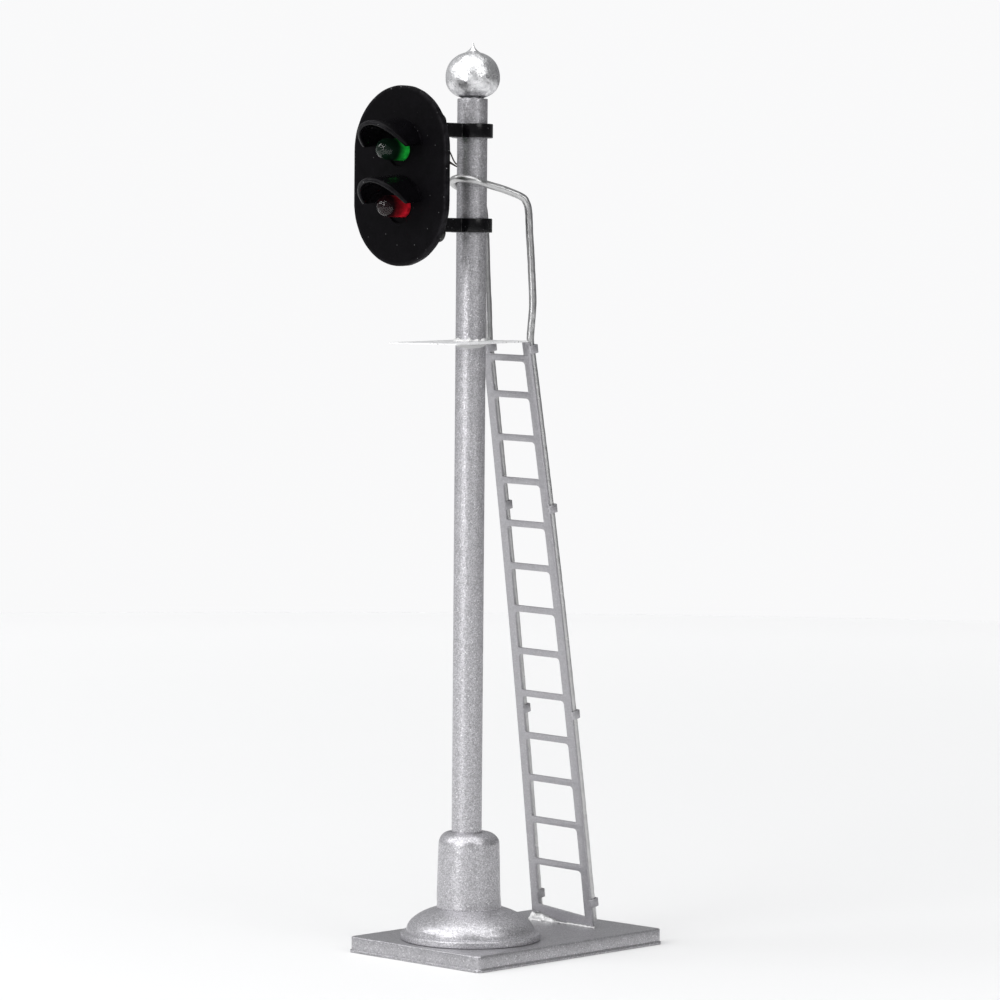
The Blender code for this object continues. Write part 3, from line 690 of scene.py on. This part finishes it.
def make_mast(paint):
    foot, top = MAST_LOW.z, MAST_HIGH.z
    edge = 0.07 * MM
    profile = [(MAST_BORE, foot), (MAST_RADIUS, foot)]
    profile += [(MAST_RADIUS, foot + (top - 0.4 * MM - foot) * k / 60) for k in range(1, 61)]
    profile += arc((MAST_RADIUS - edge, top - edge), edge, 0, 90, 5)
    profile += arc((MAST_BORE + edge, top - edge), edge, 90, 180, 5)
    profile += [(MAST_BORE, top - 5 * MM)]
    tube = add_piece("mast_pipe", revolve(profile, 128, AXIS, closed=True), paint, None)
    along = Matrix.Rotation(WIRE_HOLE_TURN, 3, "Z") @ Matrix.Rotation(pi / 2, 3, "X")
    drill = [(WIRE_HOLE_RADIUS, 0.5 * MM), (WIRE_HOLE_RADIUS, 3 * MM)]
    cut(tube, "wire_hole", revolve(drill, 32, AXIS + UP * WIRE_HOLE_HEIGHT, along))
    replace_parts(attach(tube, "mast"), "mast_tube")


def make_finial(metal):
    """The ball: an onion shape with a moulding seam down two sides, on a spigot."""
    profile = [(NECK_RADIUS - 0.1 * MM, FINIAL_LOW.z), (NECK_RADIUS, FINIAL_LOW.z + 0.1 * MM)]
    below = (range(20, -1, -1), NECK_RADIUS, -BALL_DEPTH, 2.3)
    above = (range(1, 23), SPIKE_FOOT_RADIUS, BALL_RISE, 2.1)
    for counts, end_radius, rise, power in (below, above):
        end = acos((end_radius / BALL_RADIUS) ** (power / 2))
        for k in counts:
            angle = end * k / max(counts)
            radius = BALL_RADIUS * cos(angle) ** (2 / power)
            profile.append((radius, BALL_CENTRE + rise * sin(angle) ** (2 / power)))
    foot, tip = profile[-1][1], FINIAL_HIGH.z
    for k in range(1, 13):
        share = k / 12
        radius = SPIKE_TIP_RADIUS + (SPIKE_FOOT_RADIUS - SPIKE_TIP_RADIUS) * (1 - share) ** 2.2
        profile.append((radius, foot + (tip - 0.08 * MM - foot) * share))
    profile.append((SPIKE_TIP_RADIUS / 2, tip))

    def wobble(angle, height):
        if not -2.8 * MM <= height - BALL_CENTRE <= 3.3 * MM:
            return 0.0
        ridge = 0.035 * MM * max(0.0, 1 - abs(sin(angle - BALL_SEAM)) / 0.035)
        at = Vector((cos(angle) * 1.6, sin(angle) * 1.6, height / MM * 0.5))
        return ridge + 0.05 * MM * noise.noise(at)

    bm = revolve(profile, 240, AXIS, wobble=wobble)
    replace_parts(add_piece("finial_ball", bm, metal, "mast"), "ball_finial")


# Signal head


def stadium(radius, half_straight, steps=48):
    """An upright slot shape in X and Z."""
    points = []
    for side, start in ((1, 0), (-1, pi)):
        for k in range(steps + 1):
            angle = start + k / steps * pi
            points.append((radius * cos(angle), radius * sin(angle) + side * half_straight))
    return points


def make_target(plastic):
    width = PLATE_HIGH.x - PLATE_LOW.x
    straight = (PLATE_HIGH.z - PLATE_LOW.z - width) / 2
    depth = PLATE_HIGH.y - PLATE_LOW.y
    edge = 0.1 * MM
    rings = []
    levels = [(0, 0.5 * MM)]
    levels += [(edge * (1 - cos(radians(a))), edge * (1 - sin(radians(a)))) for a in (0, 30, 60, 90)]
    levels += [(depth - y, inset) for y, inset in reversed(levels)]
    for y, inset in levels:
        outline = stadium(width / 2 - inset, straight)
        ring = []
        for x, z in outline:
            rough = 1 + 0.0035 * noise.noise(Vector((x, z, 0)) / (1.1 * MM))
            ring.append((x * rough, FACE_Y + y, PLATE_CENTRE + z * rough))
        rings.append(ring)
    plate = add_piece("target_disc", ring_stack(rings), plastic, None)
    for side, shift in ((1, 0.0), (-1, RED_SHIFT)):
        height = PLATE_CENTRE + side * LAMP_OFFSET - LED_DROP
        along = Matrix.Rotation(-pi / 2, 3, "X")
        hole_radius = LED_RADIUS + LED_HOLE_GAP
        for radius, x, end in ((RECESS_RADIUS, 0, RECESS_DEPTH), (hole_radius, shift, 3 * MM)):
            centre = Vector((x, FACE_Y, height))
            cut(plate, "lamp_hole", revolve([(radius, -MM), (radius, end)], 72, centre, along))
    set_rim(plate, lambda co: edge_share(co, width, straight))
    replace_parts(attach(plate, "head"), "target_plate")


def edge_share(co, width, straight):
    """1 on the plate's outer edge, falling to 0 a little way in."""
    z = co.z - PLATE_CENTRE
    z = max(abs(z) - straight, 0.0)
    reach = sqrt(co.x**2 + z**2)
    return max(0.0, min(1.0, (reach - (width / 2 - 0.25 * MM)) / (0.2 * MM)))


def hood_reach(angle):
    """How far the hood stands out at this angle from its top."""
    lift = cos(angle)
    return HOOD_LEVEL_REACH + HOOD_REACH_SLOPE * lift - HOOD_REACH_CURVE * lift**2


def make_hood(colour, height, plastic):
    """The upper part of a drooping tube with a curved, rounded front rim."""
    back = FACE_Y - CONTACT_GAP
    half_wall = HOOD_WALL / 2
    middle = HOOD_RADIUS - half_wall
    steps = 84
    rings = []
    for k in range(steps + 1):
        angle = HOOD_HALF_ANGLE * (2 * k / steps - 1)
        reach = hood_reach(angle)
        end = min(k, steps - k)
        thin = half_wall * (0.45, 0.8, 1.0)[min(end, 2)]
        section = [(middle + thin, 0), (middle + thin, 0.35 * MM), (middle + thin, reach - 0.5 * MM)]
        for j in range(7):
            roll = pi / 2 - pi * j / 6
            section.append((middle + thin * sin(roll), reach - thin + thin * cos(roll)))
        section += [(middle - thin, reach - 0.5 * MM), (middle - thin, 0)]
        ring = []
        for radius, out in section:
            ring.append((radius * sin(angle), back - out, height + radius * cos(angle) - HOOD_DROOP * out))
        rings.append(ring)
    name = f"lamp_hood_{colour}"
    hood = add_piece(name, ring_stack(rings), plastic, None, radians(55))

    def rim(co):
        out = back - co.y
        angle = atan2(co.x, co.z - height + HOOD_DROOP * out)
        angle = max(-HOOD_HALF_ANGLE, min(HOOD_HALF_ANGLE, angle))
        # Rim value: the worn front rim, raised towards the upper left as a painted highlight, plus a painted
        # highlight band at the hood's root.
        front = max(0.0, 1 - (hood_reach(angle) - out) / (0.45 * MM))
        root = max(0.0, 1 - out / (0.35 * MM))
        return max(front * (0.45 + 0.55 * cos(angle + radians(50))), 0.5 * root)

    set_rim(hood, rim)
    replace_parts(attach(hood, "head"), f"hood_{colour}")


def make_led(colour, across, height, epoxy, heart, painted_glow_end):
    """A lamp's clear domed body with a heart inside it: painted glow in its colour near the root, fading
    along the body to painted shade at the dome.
    """
    body_end = LED_TIP - LED_RADIUS
    straight = [(body_end + LED_ROOT) * k / 12 - LED_ROOT for k in range(1, 12)]
    out = Matrix.Rotation(pi / 2, 3, "X")
    centre = Vector((across, FACE_Y, height))

    def domed(radius, root, steps, dome_steps):
        profile = [(0.02 * MM, root), (radius, root)] + [(radius, z) for z in straight]
        return revolve(profile + arc((0, body_end), radius, 0, 89.2, dome_steps), steps, centre, out)

    skin = domed(LED_RADIUS, -LED_ROOT, 96, 28)
    body = add_piece(f"lamp_{colour}", skin, epoxy, "head")
    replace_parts(body, f"led_{colour}")
    core = domed(LED_RADIUS - LED_SKIN, LED_SKIN / 2 - LED_ROOT, 72, 20)
    inside = add_piece(f"lamp_{colour}_heart", core, heart, "head")
    # The heart's rim value: full painted glow at the root, none from the glow's end outwards.
    set_rim(inside, lambda co: max(0.0, min(1.0, (painted_glow_end - (FACE_Y - co.y)) / painted_glow_end)) ** 1.5)


def make_housing(plastic):
    half_x = (HOUSING_HIGH.x - HOUSING_LOW.x) / 2
    half_z = (HOUSING_HIGH.z - HOUSING_LOW.z) / 2
    middle = (HOUSING_HIGH.z + HOUSING_LOW.z) / 2
    front, rear = HOUSING_LOW.y, HOUSING_HIGH.y
    inside = rear - HOUSING_WALL
    levels = [(inside, HOUSING_WALL), (front, HOUSING_WALL), (front, 0.03 * MM), (front + 0.05 * MM, 0)]
    for lean in range(0, 91, 15):
        back, inset = 1 - sin(radians(lean)), 1 - cos(radians(lean))
        levels.append((rear - HOUSING_EDGE * back, HOUSING_EDGE * inset))
    rings = []
    for y, inset in levels:
        outline = rounded_rectangle(half_x - inset, half_z - inset, HOUSING_CORNER - inset, 10)
        rings.append([(x, y, middle + z) for x, z in outline])
    housing = add_piece("housing_shell", ring_stack(rings), plastic, None)
    outline = stadium(WIRE_SLOT_RADIUS, WIRE_SLOT_STRAIGHT, 16)
    ends = (inside - MM / 2, rear + MM)
    cut(housing, "wire_slot", ring_stack([[(x, y, WIRE_SLOT_CENTRE + z) for x, z in outline] for y in ends]))
    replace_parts(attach(housing, "head"), "rear_housing")


def make_bracket(name, plastic):
    """A ring round the mast with an arm and a pad, its edges rounded."""
    low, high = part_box(name)
    radius = (high.x - low.x) / 2
    join = ARM_HALF_WIDTH / radius
    rear = low.y - AXIS.y
    pad_back = rear + PAD_THICKNESS
    pad = [(PAD_HALF_WIDTH, rear), (PAD_HALF_WIDTH, pad_back), (ARM_HALF_WIDTH, pad_back)]
    outline = list(pad)
    steps = 72
    for k in range(steps + 1):
        angle = join + (2 * pi - 2 * join) * k / steps
        outline.append((radius * sin(angle), -radius * cos(angle)))
    outline += [(-x, y) for x, y in reversed(pad)]
    rings = [[(x + AXIS.x, y + AXIS.y, z) for x, y in outline] for z in (low.z, high.z)]
    clip = add_piece(f"{name}_clip", ring_stack(rings), plastic, None)
    cut(clip, "bore", bore_shape(CLEAR_RADIUS, low.z, high.z, 96))
    round_edges(clip, 0.09 * MM, 3)
    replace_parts(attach(clip, "head"), name)


# Ladder, handrail and platform


def ladder_matrix():
    lean = Matrix.Rotation(LADDER_LEAN, 4, "X")
    roll = Matrix.Rotation(LADDER_ROLL, 4, "Y")
    return Matrix.Translation(LADDER_FOOT) @ lean @ roll


def ladder_bow(along):
    share = along / LADDER_LENGTH
    return LADDER_BOW * 4 * share * (1 - share)


def ladder_half_width(along):
    return (LADDER_FOOT_WIDTH + (LADDER_TOP_WIDTH - LADDER_FOOT_WIDTH) * along / LADDER_LENGTH) / 2


def rod_place(side, along):
    x = side * (ladder_half_width(along) - ROD_INSET)
    return Vector((x, ladder_bow(along) + SHEET / 2 + CONTACT_GAP + ROD_RADIUS, along))


def rounded_outline(corners):
    """An outline through (place, rounding) corners."""
    points = []
    for i, (corner, size) in enumerate(corners):
        before = (corners[i - 1][0] - corner).normalized()
        after = (corners[(i + 1) % len(corners)][0] - corner).normalized()
        start, end = corner + before * size, corner + after * size
        for k in range(7 if size else 1):
            t = k / 6
            points.append(start * (1 - t) ** 2 + corner * (2 * t * (1 - t)) + end * t**2)
    return points


def inner_place(side, along):
    return Vector((side * (ladder_half_width(along) - STRINGER_WIDTH), along))


def ladder_window(low_left, low_right, high):
    corners = [(inner_place(1, low_right), LOWER_CORNER), (inner_place(1, high), UPPER_CORNER)]
    corners += [(inner_place(-1, high), UPPER_CORNER), (inner_place(-1, low_left), LOWER_CORNER)]
    return rounded_outline(corners)


def ladder_outline():
    """The sheet's outer edge: open between the stringers at its top, its left foot bent up off the base."""
    top_bar = TOP_RUNG + RUNG_HEIGHT / 2
    heights = [k / 40 * LADDER_LENGTH for k in range(41)]
    right = [Vector((ladder_half_width(along), along)) for along in heights]
    left = [Vector((-p.x, p.y)) for p in right if p.y > LEFT_FOOT_LIFT]
    corners = [(point, 0) for point in right]
    corners += [(inner_place(1, LADDER_LENGTH), 0), (inner_place(1, top_bar), LOWER_CORNER)]
    corners += [(inner_place(-1, top_bar), LOWER_CORNER), (inner_place(-1, LADDER_LENGTH), 0)]
    corners += [(point, 0) for point in reversed(left)]
    corners.append((Vector((-ladder_half_width(LEFT_FOOT_LIFT), LEFT_FOOT_LIFT)), 0))
    corners.append((Vector((-4.3 * MM, LEFT_FOOT_LIFT + 0.05 * MM)), 0.2 * MM))
    corners.append((Vector((-0.75 * MM, 0.06 * MM)), 0.3 * MM))
    return rounded_outline(corners)


def make_ladder(paint):
    middles = [FIRST_RUNG + k * RUNG_PITCH for k in range(EVEN_RUNGS)] + [TOP_RUNG]
    windows = [ladder_window(*FOOT_BAR_HEIGHTS, FIRST_RUNG - RUNG_HEIGHT / 2)]
    for lower, upper in zip(middles, middles[1:]):
        low = lower + RUNG_HEIGHT / 2
        windows.append(ladder_window(low, low, upper - RUNG_HEIGHT / 2))
    curve = bpy.data.curves.new("ladder_outline", "CURVE")
    curve.dimensions = "2D"
    curve.fill_mode = "BOTH"
    curve.extrude = SHEET / 2 - SHEET_EDGE
    curve.bevel_depth = SHEET_EDGE
    curve.bevel_resolution = 1
    curve.offset = -SHEET_EDGE
    for points in (ladder_outline(), *windows):
        spline = curve.splines.new("POLY")
        spline.points.add(len(points) - 1)
        for target, point in zip(spline.points, points):
            target.co = (point.x, point.y, 0, 1)
        spline.use_cyclic_u = True
    drawn = add_object("ladder_outline", curve)
    bpy.context.view_layer.update()
    graph = bpy.context.evaluated_depsgraph_get()
    flat = bpy.data.meshes.new_from_object(drawn.evaluated_get(graph))
    bpy.data.objects.remove(drawn)
    bm = bmesh.new()
    bm.from_mesh(flat)
    bmesh.ops.remove_doubles(bm, verts=bm.verts, dist=0.001 * MM)
    place = ladder_matrix()
    for vert in bm.verts:
        x, along, depth = vert.co
        vert.co = place @ Vector((x, ladder_bow(along) - depth, along))
    ladder = add_piece("ladder_sheet", bm, paint, "mast", radians(30))
    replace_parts(ladder, "ladder_frame")
    for side, word in ((-1, "left"), (1, "right")):
        for i, along in enumerate(TAB_HEIGHTS):
            make_tab(f"ladder_tab_{word}_{i}", side, along, paint)


def boxy_arc(size, start, end, steps):
    """Points of a rounded square's outline about the rod, from one angle to the other in degrees."""
    points = []
    for k in range(steps + 1):
        angle = radians(start + (end - start) * k / steps)
        across, back = cos(angle), sin(angle)
        spread = (abs(across) ** TAB_SQUARENESS + abs(back) ** TAB_SQUARENESS) ** (1 / TAB_SQUARENESS)
        points.append((size * across / spread, size * back / spread))
    return points


def make_tab(name, side, along, paint):
    """One strip folded from a stringer's +X edge round the rod behind it."""
    centre = rod_place(side, along)
    inner = ROD_RADIUS + 0.02 * MM
    outer = inner + TAB_THICKNESS
    sheet = -(ROD_RADIUS + CONTACT_GAP + SHEET / 2)
    hook = [(inner - TAB_FOOT, sheet - 0.56 * SHEET), (outer - 0.1 * MM, sheet - 0.56 * SHEET)]
    hook += [(outer, sheet - 0.3 * SHEET)] + boxy_arc(outer, 0, 125, 16) + boxy_arc(inner, 125, 0, 16)
    hook += [(inner, sheet + 0.4 * SHEET), (inner - TAB_FOOT, sheet + 0.4 * SHEET)]
    rings = []
    for end in (-TAB_LENGTH / 2, TAB_LENGTH / 2):
        rings.append([ladder_matrix() @ (centre + Vector((x, y, end))) for x, y in hook])
    tab = add_piece(name, ring_stack(rings), paint, None)
    round_edges(tab, 0.05 * MM, 2)
    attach(tab, "mast")


def make_foot_glue(glue):
    """The glue at the ladder's foot: a wedge under its bent left end and a thin bead along the rest."""
    foot = Vector((0, LADDER_FOOT.y, BASE_TOP + 0.01 * MM))
    rings = []
    steps = 26
    for k in range(steps + 1):
        share = k / steps
        x = (-6.5 + 5.9 * share) * MM
        taper = min(1.0, 8 * share + 0.25) * min(1.0, 6 * (1 - share) + 0.15)
        height = (0.95 * MM - 0.7 * MM * max(0.0, (x + 4.5 * MM) / (3.9 * MM))) * taper
        width = (0.85 - 0.55 * share) * MM * taper
        ring = []
        for j in range(15):
            turn = pi * j / 14
            rough = 1 + 0.4 * noise.noise(Vector((x, cos(turn) * MM, sin(turn) * MM)) / (0.5 * MM))
            ring.append(foot + Vector((x, width * rough * cos(turn), height * rough * sin(turn))))
        rings.append(ring)
    add_piece("ladder_glue_wedge", ring_stack(rings), glue, "mast")
    front = foot + Vector((0, -SHEET / 2 - 0.08 * MM, 0.12 * MM))
    route = smooth_route([front + Vector((x * MM, 0, 0)) for x in (-0.9, 0.6, 2.2, 3.8, 5.2, 6.2)], 12)
    bead = tube_mesh(route, 0.13 * MM, 12, 0.1 * MM, 0.5 * MM)
    add_piece("ladder_glue_bead", bead, glue, "mast")


def handrail_route():
    to_world = ladder_matrix()
    left_top = to_world @ rod_place(-1, LADDER_LENGTH - 0.3 * MM)
    right_top = to_world @ rod_place(1, LADDER_LENGTH - 0.3 * MM)
    stretch = [ROD_FOOT + (LADDER_LENGTH - 3 * MM - ROD_FOOT) * k / 8 for k in range(9)]
    left_run = [to_world @ rod_place(-1, along) for along in stretch] + [left_top]
    right_run = [right_top] + [to_world @ rod_place(1, along) for along in reversed(stretch)]
    left_post = [(-2.2, 5.75, 88.0), (-2.35, 5.5, 94.0), (-2.5, 5.3, 100.0), (-2.6, 5.0, 102.7)]
    left_post += [(-2.66, 4.0, 104.1), (-2.68, 2.0, 104.9)]
    right_post = [(3.7, 2.4, 105.1), (4.85, 4.7, 104.15), (5.2, 5.35, 103.35), (5.36, 5.65, 102.0)]
    right_post += [(5.48, 5.75, 99.0), (5.75, 5.9, 94.5), (6.0, 5.95, 89.5), (5.8, 5.85, 86.2)]
    loop_radius = MAST_RADIUS + CONTACT_GAP + ROD_RADIUS
    loop = []
    for k, height in enumerate(LOOP_HEIGHTS):
        angle = pi + pi * k / (len(LOOP_HEIGHTS) - 1)
        loop.append(AXIS + Vector((loop_radius * cos(angle), loop_radius * sin(angle), height * MM)))
    upper = [AXIS + MM * Vector(p) for p in left_post] + loop + [AXIS + MM * Vector(p) for p in right_post]
    return smooth_route(left_run + upper + right_run, 10)


def make_handrail(paint):
    bm = tube_mesh(handrail_route(), ROD_RADIUS, 28, 0.03 * MM, 0.8 * MM)
    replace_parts(add_piece("handrail_bar", bm, paint, "mast"), "handrail_rod")


def platform_rise(y):
    """How far the platform, which is bent up a little towards its rear, stands above its lowest height."""
    return PLATFORM_LIFT + PLATFORM_SLOPE * (y - PLATFORM_LOW.y)


def make_platform(paint):
    low, high = PLATFORM_LOW, PLATFORM_HIGH
    half_x, half_y = (high.x - low.x) / 2, (high.y - low.y) / 2
    middle_y = (high.y + low.y) / 2
    edge = 0.05 * MM
    corner = 0.2 * MM
    rings = []
    counts = piece_counts(rounded_rectangle(half_x, half_y, corner, 4), 0.35 * MM)
    levels = [(low.z, 0.7 * MM), (low.z, edge), (low.z + edge, 0)]
    for z, inset in levels + [(low.z + high.z - z, inset) for z, inset in reversed(levels)]:
        outline = rounded_rectangle(half_x - inset, half_y - inset, corner, 4)
        ring = []
        for x, y in split_sides(outline, counts):
            rough = 0.06 * MM * noise.noise(Vector((x, y, z * 2)) / (0.6 * MM))
            y += middle_y
            ring.append((x + rough, y + rough, z + rough * 0.6 + platform_rise(y)))
        rings.append(ring)
    platform = add_piece("platform_deck", ring_stack(rings), paint, None)
    cut(platform, "mast_hole", bore_shape(CLEAR_RADIUS, low.z, high.z, 96))
    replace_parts(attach(platform, "mast"), "work_platform")


def make_collar(paint):
    """The bead of filler under the platform, deepest at the front right and thin behind."""
    low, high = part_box("platform_collar")
    bore = MAST_RADIUS + 0.03 * MM

    def section(angle, out):
        share = max(0.0, cos(angle - COLLAR_DEEPEST)) ** 0.7
        rough = 1 + 0.12 * noise.noise(out * 2.2)
        depth = (high.z - low.z) * (0.22 + 0.7 * share) * min(rough, 1.05)
        reach = (high.x - bore - AXIS.x) * (0.45 + 0.5 * share)
        top = high.z + platform_rise((AXIS + out * bore).y)
        points = [AXIS + out * bore + UP * top, AXIS + out * bore + UP * (top - depth)]
        for j in range(1, 7):
            rise = j / 6
            radius = bore + 0.08 * MM + reach * rise**2
            points.append(AXIS + out * radius + UP * (top - depth * (1 - rise)))
        return points

    bead = add_piece("collar_bead", ring_round_mast(120, section), paint, "mast")
    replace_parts(bead, "platform_collar")


def make_platform_glue(glue):
    """Lumps of dried glue on the platform, round the mast."""

    def section(_, out):
        lump = 0.5 + noise.noise(out * 3.1 + Vector((0, 0, 4.0)))
        size = (0.16 + 0.34 * max(0.0, lump)) * MM
        foot = AXIS + out * (MAST_RADIUS + 0.02 * MM)
        foot += UP * (PLATFORM_HIGH.z + platform_rise(foot.y) + 0.01 * MM)
        turns = [pi / 2 * j / 6 for j in range(7)]
        return [foot] + [foot + out * size * 0.9 * cos(turn) + UP * size * sin(turn) for turn in turns]

    add_piece("platform_glue", ring_round_mast(140, section), glue, "mast")


# Wires


def wire_routes():
    """Each wire's name, its bends from the leg to the mast and its turn in the hole.

    The bends are in millimetres from the mast's axis.
    """
    leg_x = LEG_SPACING / 2 / MM
    leg_y = -11.43
    green = (PLATE_CENTRE + LAMP_OFFSET - LED_DROP - LEG_DROP) / MM
    red = (PLATE_CENTRE - LAMP_OFFSET - LED_DROP + LEG_DROP) / MM
    green_bends = [(leg_x, leg_y, green), (0.4, -11.2, 110.0), (0.3, -10.4, 110.6), (0.0, -9.0, 111.2)]
    green_bends += [(-0.6, -6.5, 111.6), (-1.3, -4.2, 111.4), (-1.85, -2.5, 110.2), (-1.85, -1.7, 109.0)]
    red_bends = [(leg_x, leg_y, red), (0.4, -11.2, 107.0), (0.3, -10.4, 107.4), (0.0, -9.0, 107.8)]
    red_bends += [(-1.0, -6.5, 108.7), (-1.9, -4.2, 108.9), (-2.25, -1.95, 108.6)]
    common_bends = [(-leg_x, leg_y, green), (-0.45, -11.2, 108.7), (-0.35, -10.4, 108.9)]
    common_bends += [(-0.5, -9.0, 109.3), (-0.9, -6.5, 109.6), (-1.4, -4.2, 109.4), (-1.9, -2.3, 108.75)]
    routes = {"wire_green": (green_bends, 90), "wire_red": (red_bends, 330)}
    return {**routes, "wire_common": (common_bends, 210)}


def make_wire(name, bends, turn, insulation):
    height = UP * WIRE_HOLE_HEIGHT
    outward = level_way(WIRE_HOLE_TURN)
    sideways = Vector((-outward.y, outward.x, 0))
    across, over = cos(radians(turn)), sin(radians(turn))
    place = (sideways * across + UP * over) * WIRE_SPACING
    down = (sideways * across - outward * over) * WIRE_LANE
    points = [AXIS + MM * Vector(p) for p in bends]
    points += [AXIS + height + outward * 2.1 * MM + place, AXIS + height + outward * 1.5 * MM + place]
    points += [AXIS + height + down - UP * 1.2 * MM]
    route = smooth_route(points, 8)
    top = WIRE_HOLE_HEIGHT - 3 * MM
    for k in range(25):
        route.append(AXIS + down + UP * (0.1 * MM + (top - 0.1 * MM) * (1 - k / 24)))
    wire = add_piece(f"{name}_lead", tube_mesh(route, WIRE_RADIUS, 12), insulation, None)
    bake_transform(wire)
    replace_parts(wire, name)


def make_legs(metal):
    """The CAD legs keep their shape and only take a finish."""
    for name in ("led_green_anode", "led_green_cathode", "led_red_anode", "led_red_cathode"):
        leg = frame["nodes"][name]
        leg.data.materials.clear()
        leg.data.materials.append(metal)


# Floor, lights and camera


def make_stage():
    """A round pale floor that ends well behind the object, in the backdrop's own tone."""
    floor_finish = Surface("pale_floor", (0.86, 0.86, 0.86), 0.6)
    floor_finish.drive("Specular IOR Level", 0.2)
    away = floor_finish.node("VectorMath", "Value", {0: floor_finish.mm}, operation="LENGTH")
    floor_finish.drive("Emission Color", (1, 1, 1, 1))
    floor_finish.drive("Emission Strength", floor_finish.spread(away, 60, 520, 0.0, 0.16))
    bm = bmesh.new()
    bmesh.ops.create_circle(bm, cap_ends=True, segments=96, radius=FLOOR_RADIUS)
    floor = mesh_object("floor", bm, floor_finish.material, radians(40))
    floor.location.z = -0.02 * MM


def soft_light(name, turn, lift, width, height, watts):
    """An area light seen from the object at this turn from the camera, to its right, and this lift."""
    level = level_way(CAMERA_AZIMUTH + radians(turn))
    away = level * cos(radians(lift)) + UP * sin(radians(lift))
    data = bpy.data.lights.new(name, "AREA")
    data.shape = "RECTANGLE"
    data.size = width
    data.size_y = height
    data.energy = watts
    light = add_object(name, data)
    light.location = UP * 80 * MM + away * LIGHT_DISTANCE
    light.rotation_euler = away.to_track_quat("Z", "Y").to_euler()


def make_lights():
    """A pale backdrop, a dimmer room for reflections, one wide overhead light and three soft boxes."""
    world = bpy.data.worlds.new("studio")
    bpy.context.scene.world = world
    world.use_nodes = True
    tree = world.node_tree
    backdrop = tree.nodes["Background"]
    backdrop.inputs["Color"].default_value = (0.95, 0.95, 0.955, 1)
    away = add_node(tree, "TexCoord", "Generated", {})
    right = (cos(CAMERA_AZIMUTH), sin(CAMERA_AZIMUTH), 0)
    across = add_node(tree, "VectorMath", "Value", {0: away, 1: right}, operation="DOT_PRODUCT")
    fade = add_node(tree, "MapRange", 0, dict(enumerate((across, -0.6, 0.9, *ROOM_LIGHT))))
    room = add_node(tree, "Background", 0, {"Color": (0.97, 0.98, 1.0, 1), "Strength": fade})
    seen = add_node(tree, "LightPath", "Is Camera Ray", {})
    choice = add_node(tree, "MixShader", 0, {0: seen, 1: room, 2: backdrop.outputs[0]})
    tree.links.new(choice, tree.nodes["World Output"].inputs["Surface"])
    overhead = bpy.data.lights.new("overhead", "SUN")
    overhead.energy = 1.9
    overhead.angle = radians(70)
    add_object("overhead", overhead).rotation_euler = (radians(12), radians(8), 0)
    soft_light("left_box", -40, 20, 0.34, 0.5, 1.8)
    soft_light("far_left_box", -84, 30, 0.35, 0.3, 1.2)
    soft_light("right_box", 40, 24, 0.3, 0.25, 0.8)


def make_camera():
    ahead = -level_way(CAMERA_AZIMUTH) * cos(CAMERA_DIP) - UP * sin(CAMERA_DIP)
    level = Vector((cos(CAMERA_AZIMUTH), sin(CAMERA_AZIMUTH), 0))
    upright = level.cross(ahead)
    right = level * cos(CAMERA_ROLL) + upright * sin(CAMERA_ROLL)
    up = -level * sin(CAMERA_ROLL) + upright * cos(CAMERA_ROLL)
    data = bpy.data.cameras.new("camera")
    data.lens = CAMERA_LENS
    data.sensor_width = 36.0
    data.clip_start = 0.01
    data.clip_end = 100.0
    camera = add_object("camera", data)
    turn = Matrix((right, up, -ahead)).transposed().to_4x4()
    camera.matrix_world = Matrix.Translation(CAMERA_PLACE) @ turn
    bpy.context.scene.camera = camera


def main():
    bpy.context.scene.view_settings.view_transform = "Standard"
    make_camera()
    make_lights()
    make_stage()
    paint = silver_paint("silver_paint_finish", 0.5, 0.37, 0.18, 0.9, 0.004)
    flat_paint = silver_paint("ladder_paint_finish", 0.42, 0.46, 0.08, 0.25, 0.003)
    base_paint = silver_paint("base_paint_finish", 0.42, 0.34, 0.16, 0.7, 0.005)
    rod_finish = smooth_silver("smooth_rod_finish", 0.54, 0.31)
    bead_finish = smooth_silver("filler_bead_finish", 0.48, 0.42)
    deck_finish = pale_deck()
    metal = bright_silver()
    glue = white_glue()
    plate_black = black_plastic("target_black_finish", 0.42, 0.04, rim=0.28)
    hood_black = black_plastic("hood_black_finish", 0.24, 0.07, rim=0.3, dust=0.15)
    clip_black = black_plastic("clip_black_finish", 0.2, 0.3, dust=0.8, specks_per_mm=1.6)
    tinned = tinned_wire()
    make_base(base_paint)
    make_pedestal(paint)
    make_mast(paint)
    make_finial(metal)
    make_target(plate_black)
    make_housing(clip_black)
    for name in ("upper_bracket", "lower_bracket"):
        make_bracket(name, clip_black)
    # Each lamp: name, side, sideways shift, resin tint, painted glow colour, painted shade colour of its
    # heart, and how far out the painted glow reaches.
    lamps = (
        ("green", 1, 0.0, (0.8, 0.93, 0.85), (0.03, 0.85, 0.1), (0.004, 0.012, 0.007), 1.4 * MM),
        ("red", -1, RED_SHIFT, (0.96, 0.84, 0.85), (0.85, 0.02, 0.04), (0.01, 0.004, 0.005), 2.5 * MM),
    )
    for colour, side, shift, resin, painted_glow, dark, painted_glow_end in lamps:
        height = PLATE_CENTRE + side * LAMP_OFFSET
        make_hood(colour, height - HOOD_DROP, hood_black)
        epoxy = tinted_epoxy(f"{colour}_epoxy_finish", resin)
        heart = lamp_heart_painted_glow(f"{colour}_heart_finish", painted_glow, dark)
        make_led(colour, shift, height - LED_DROP, epoxy, heart, painted_glow_end)
    make_legs(tinned)
    make_ladder(flat_paint)
    make_handrail(rod_finish)
    make_platform(deck_finish)
    make_platform_glue(glue)
    make_collar(bead_finish)
    make_foot_glue(glue)
    enamel = wire_enamel()
    for name, (bends, turn) in wire_routes().items():
        make_wire(name, bends, turn, enamel)


main()
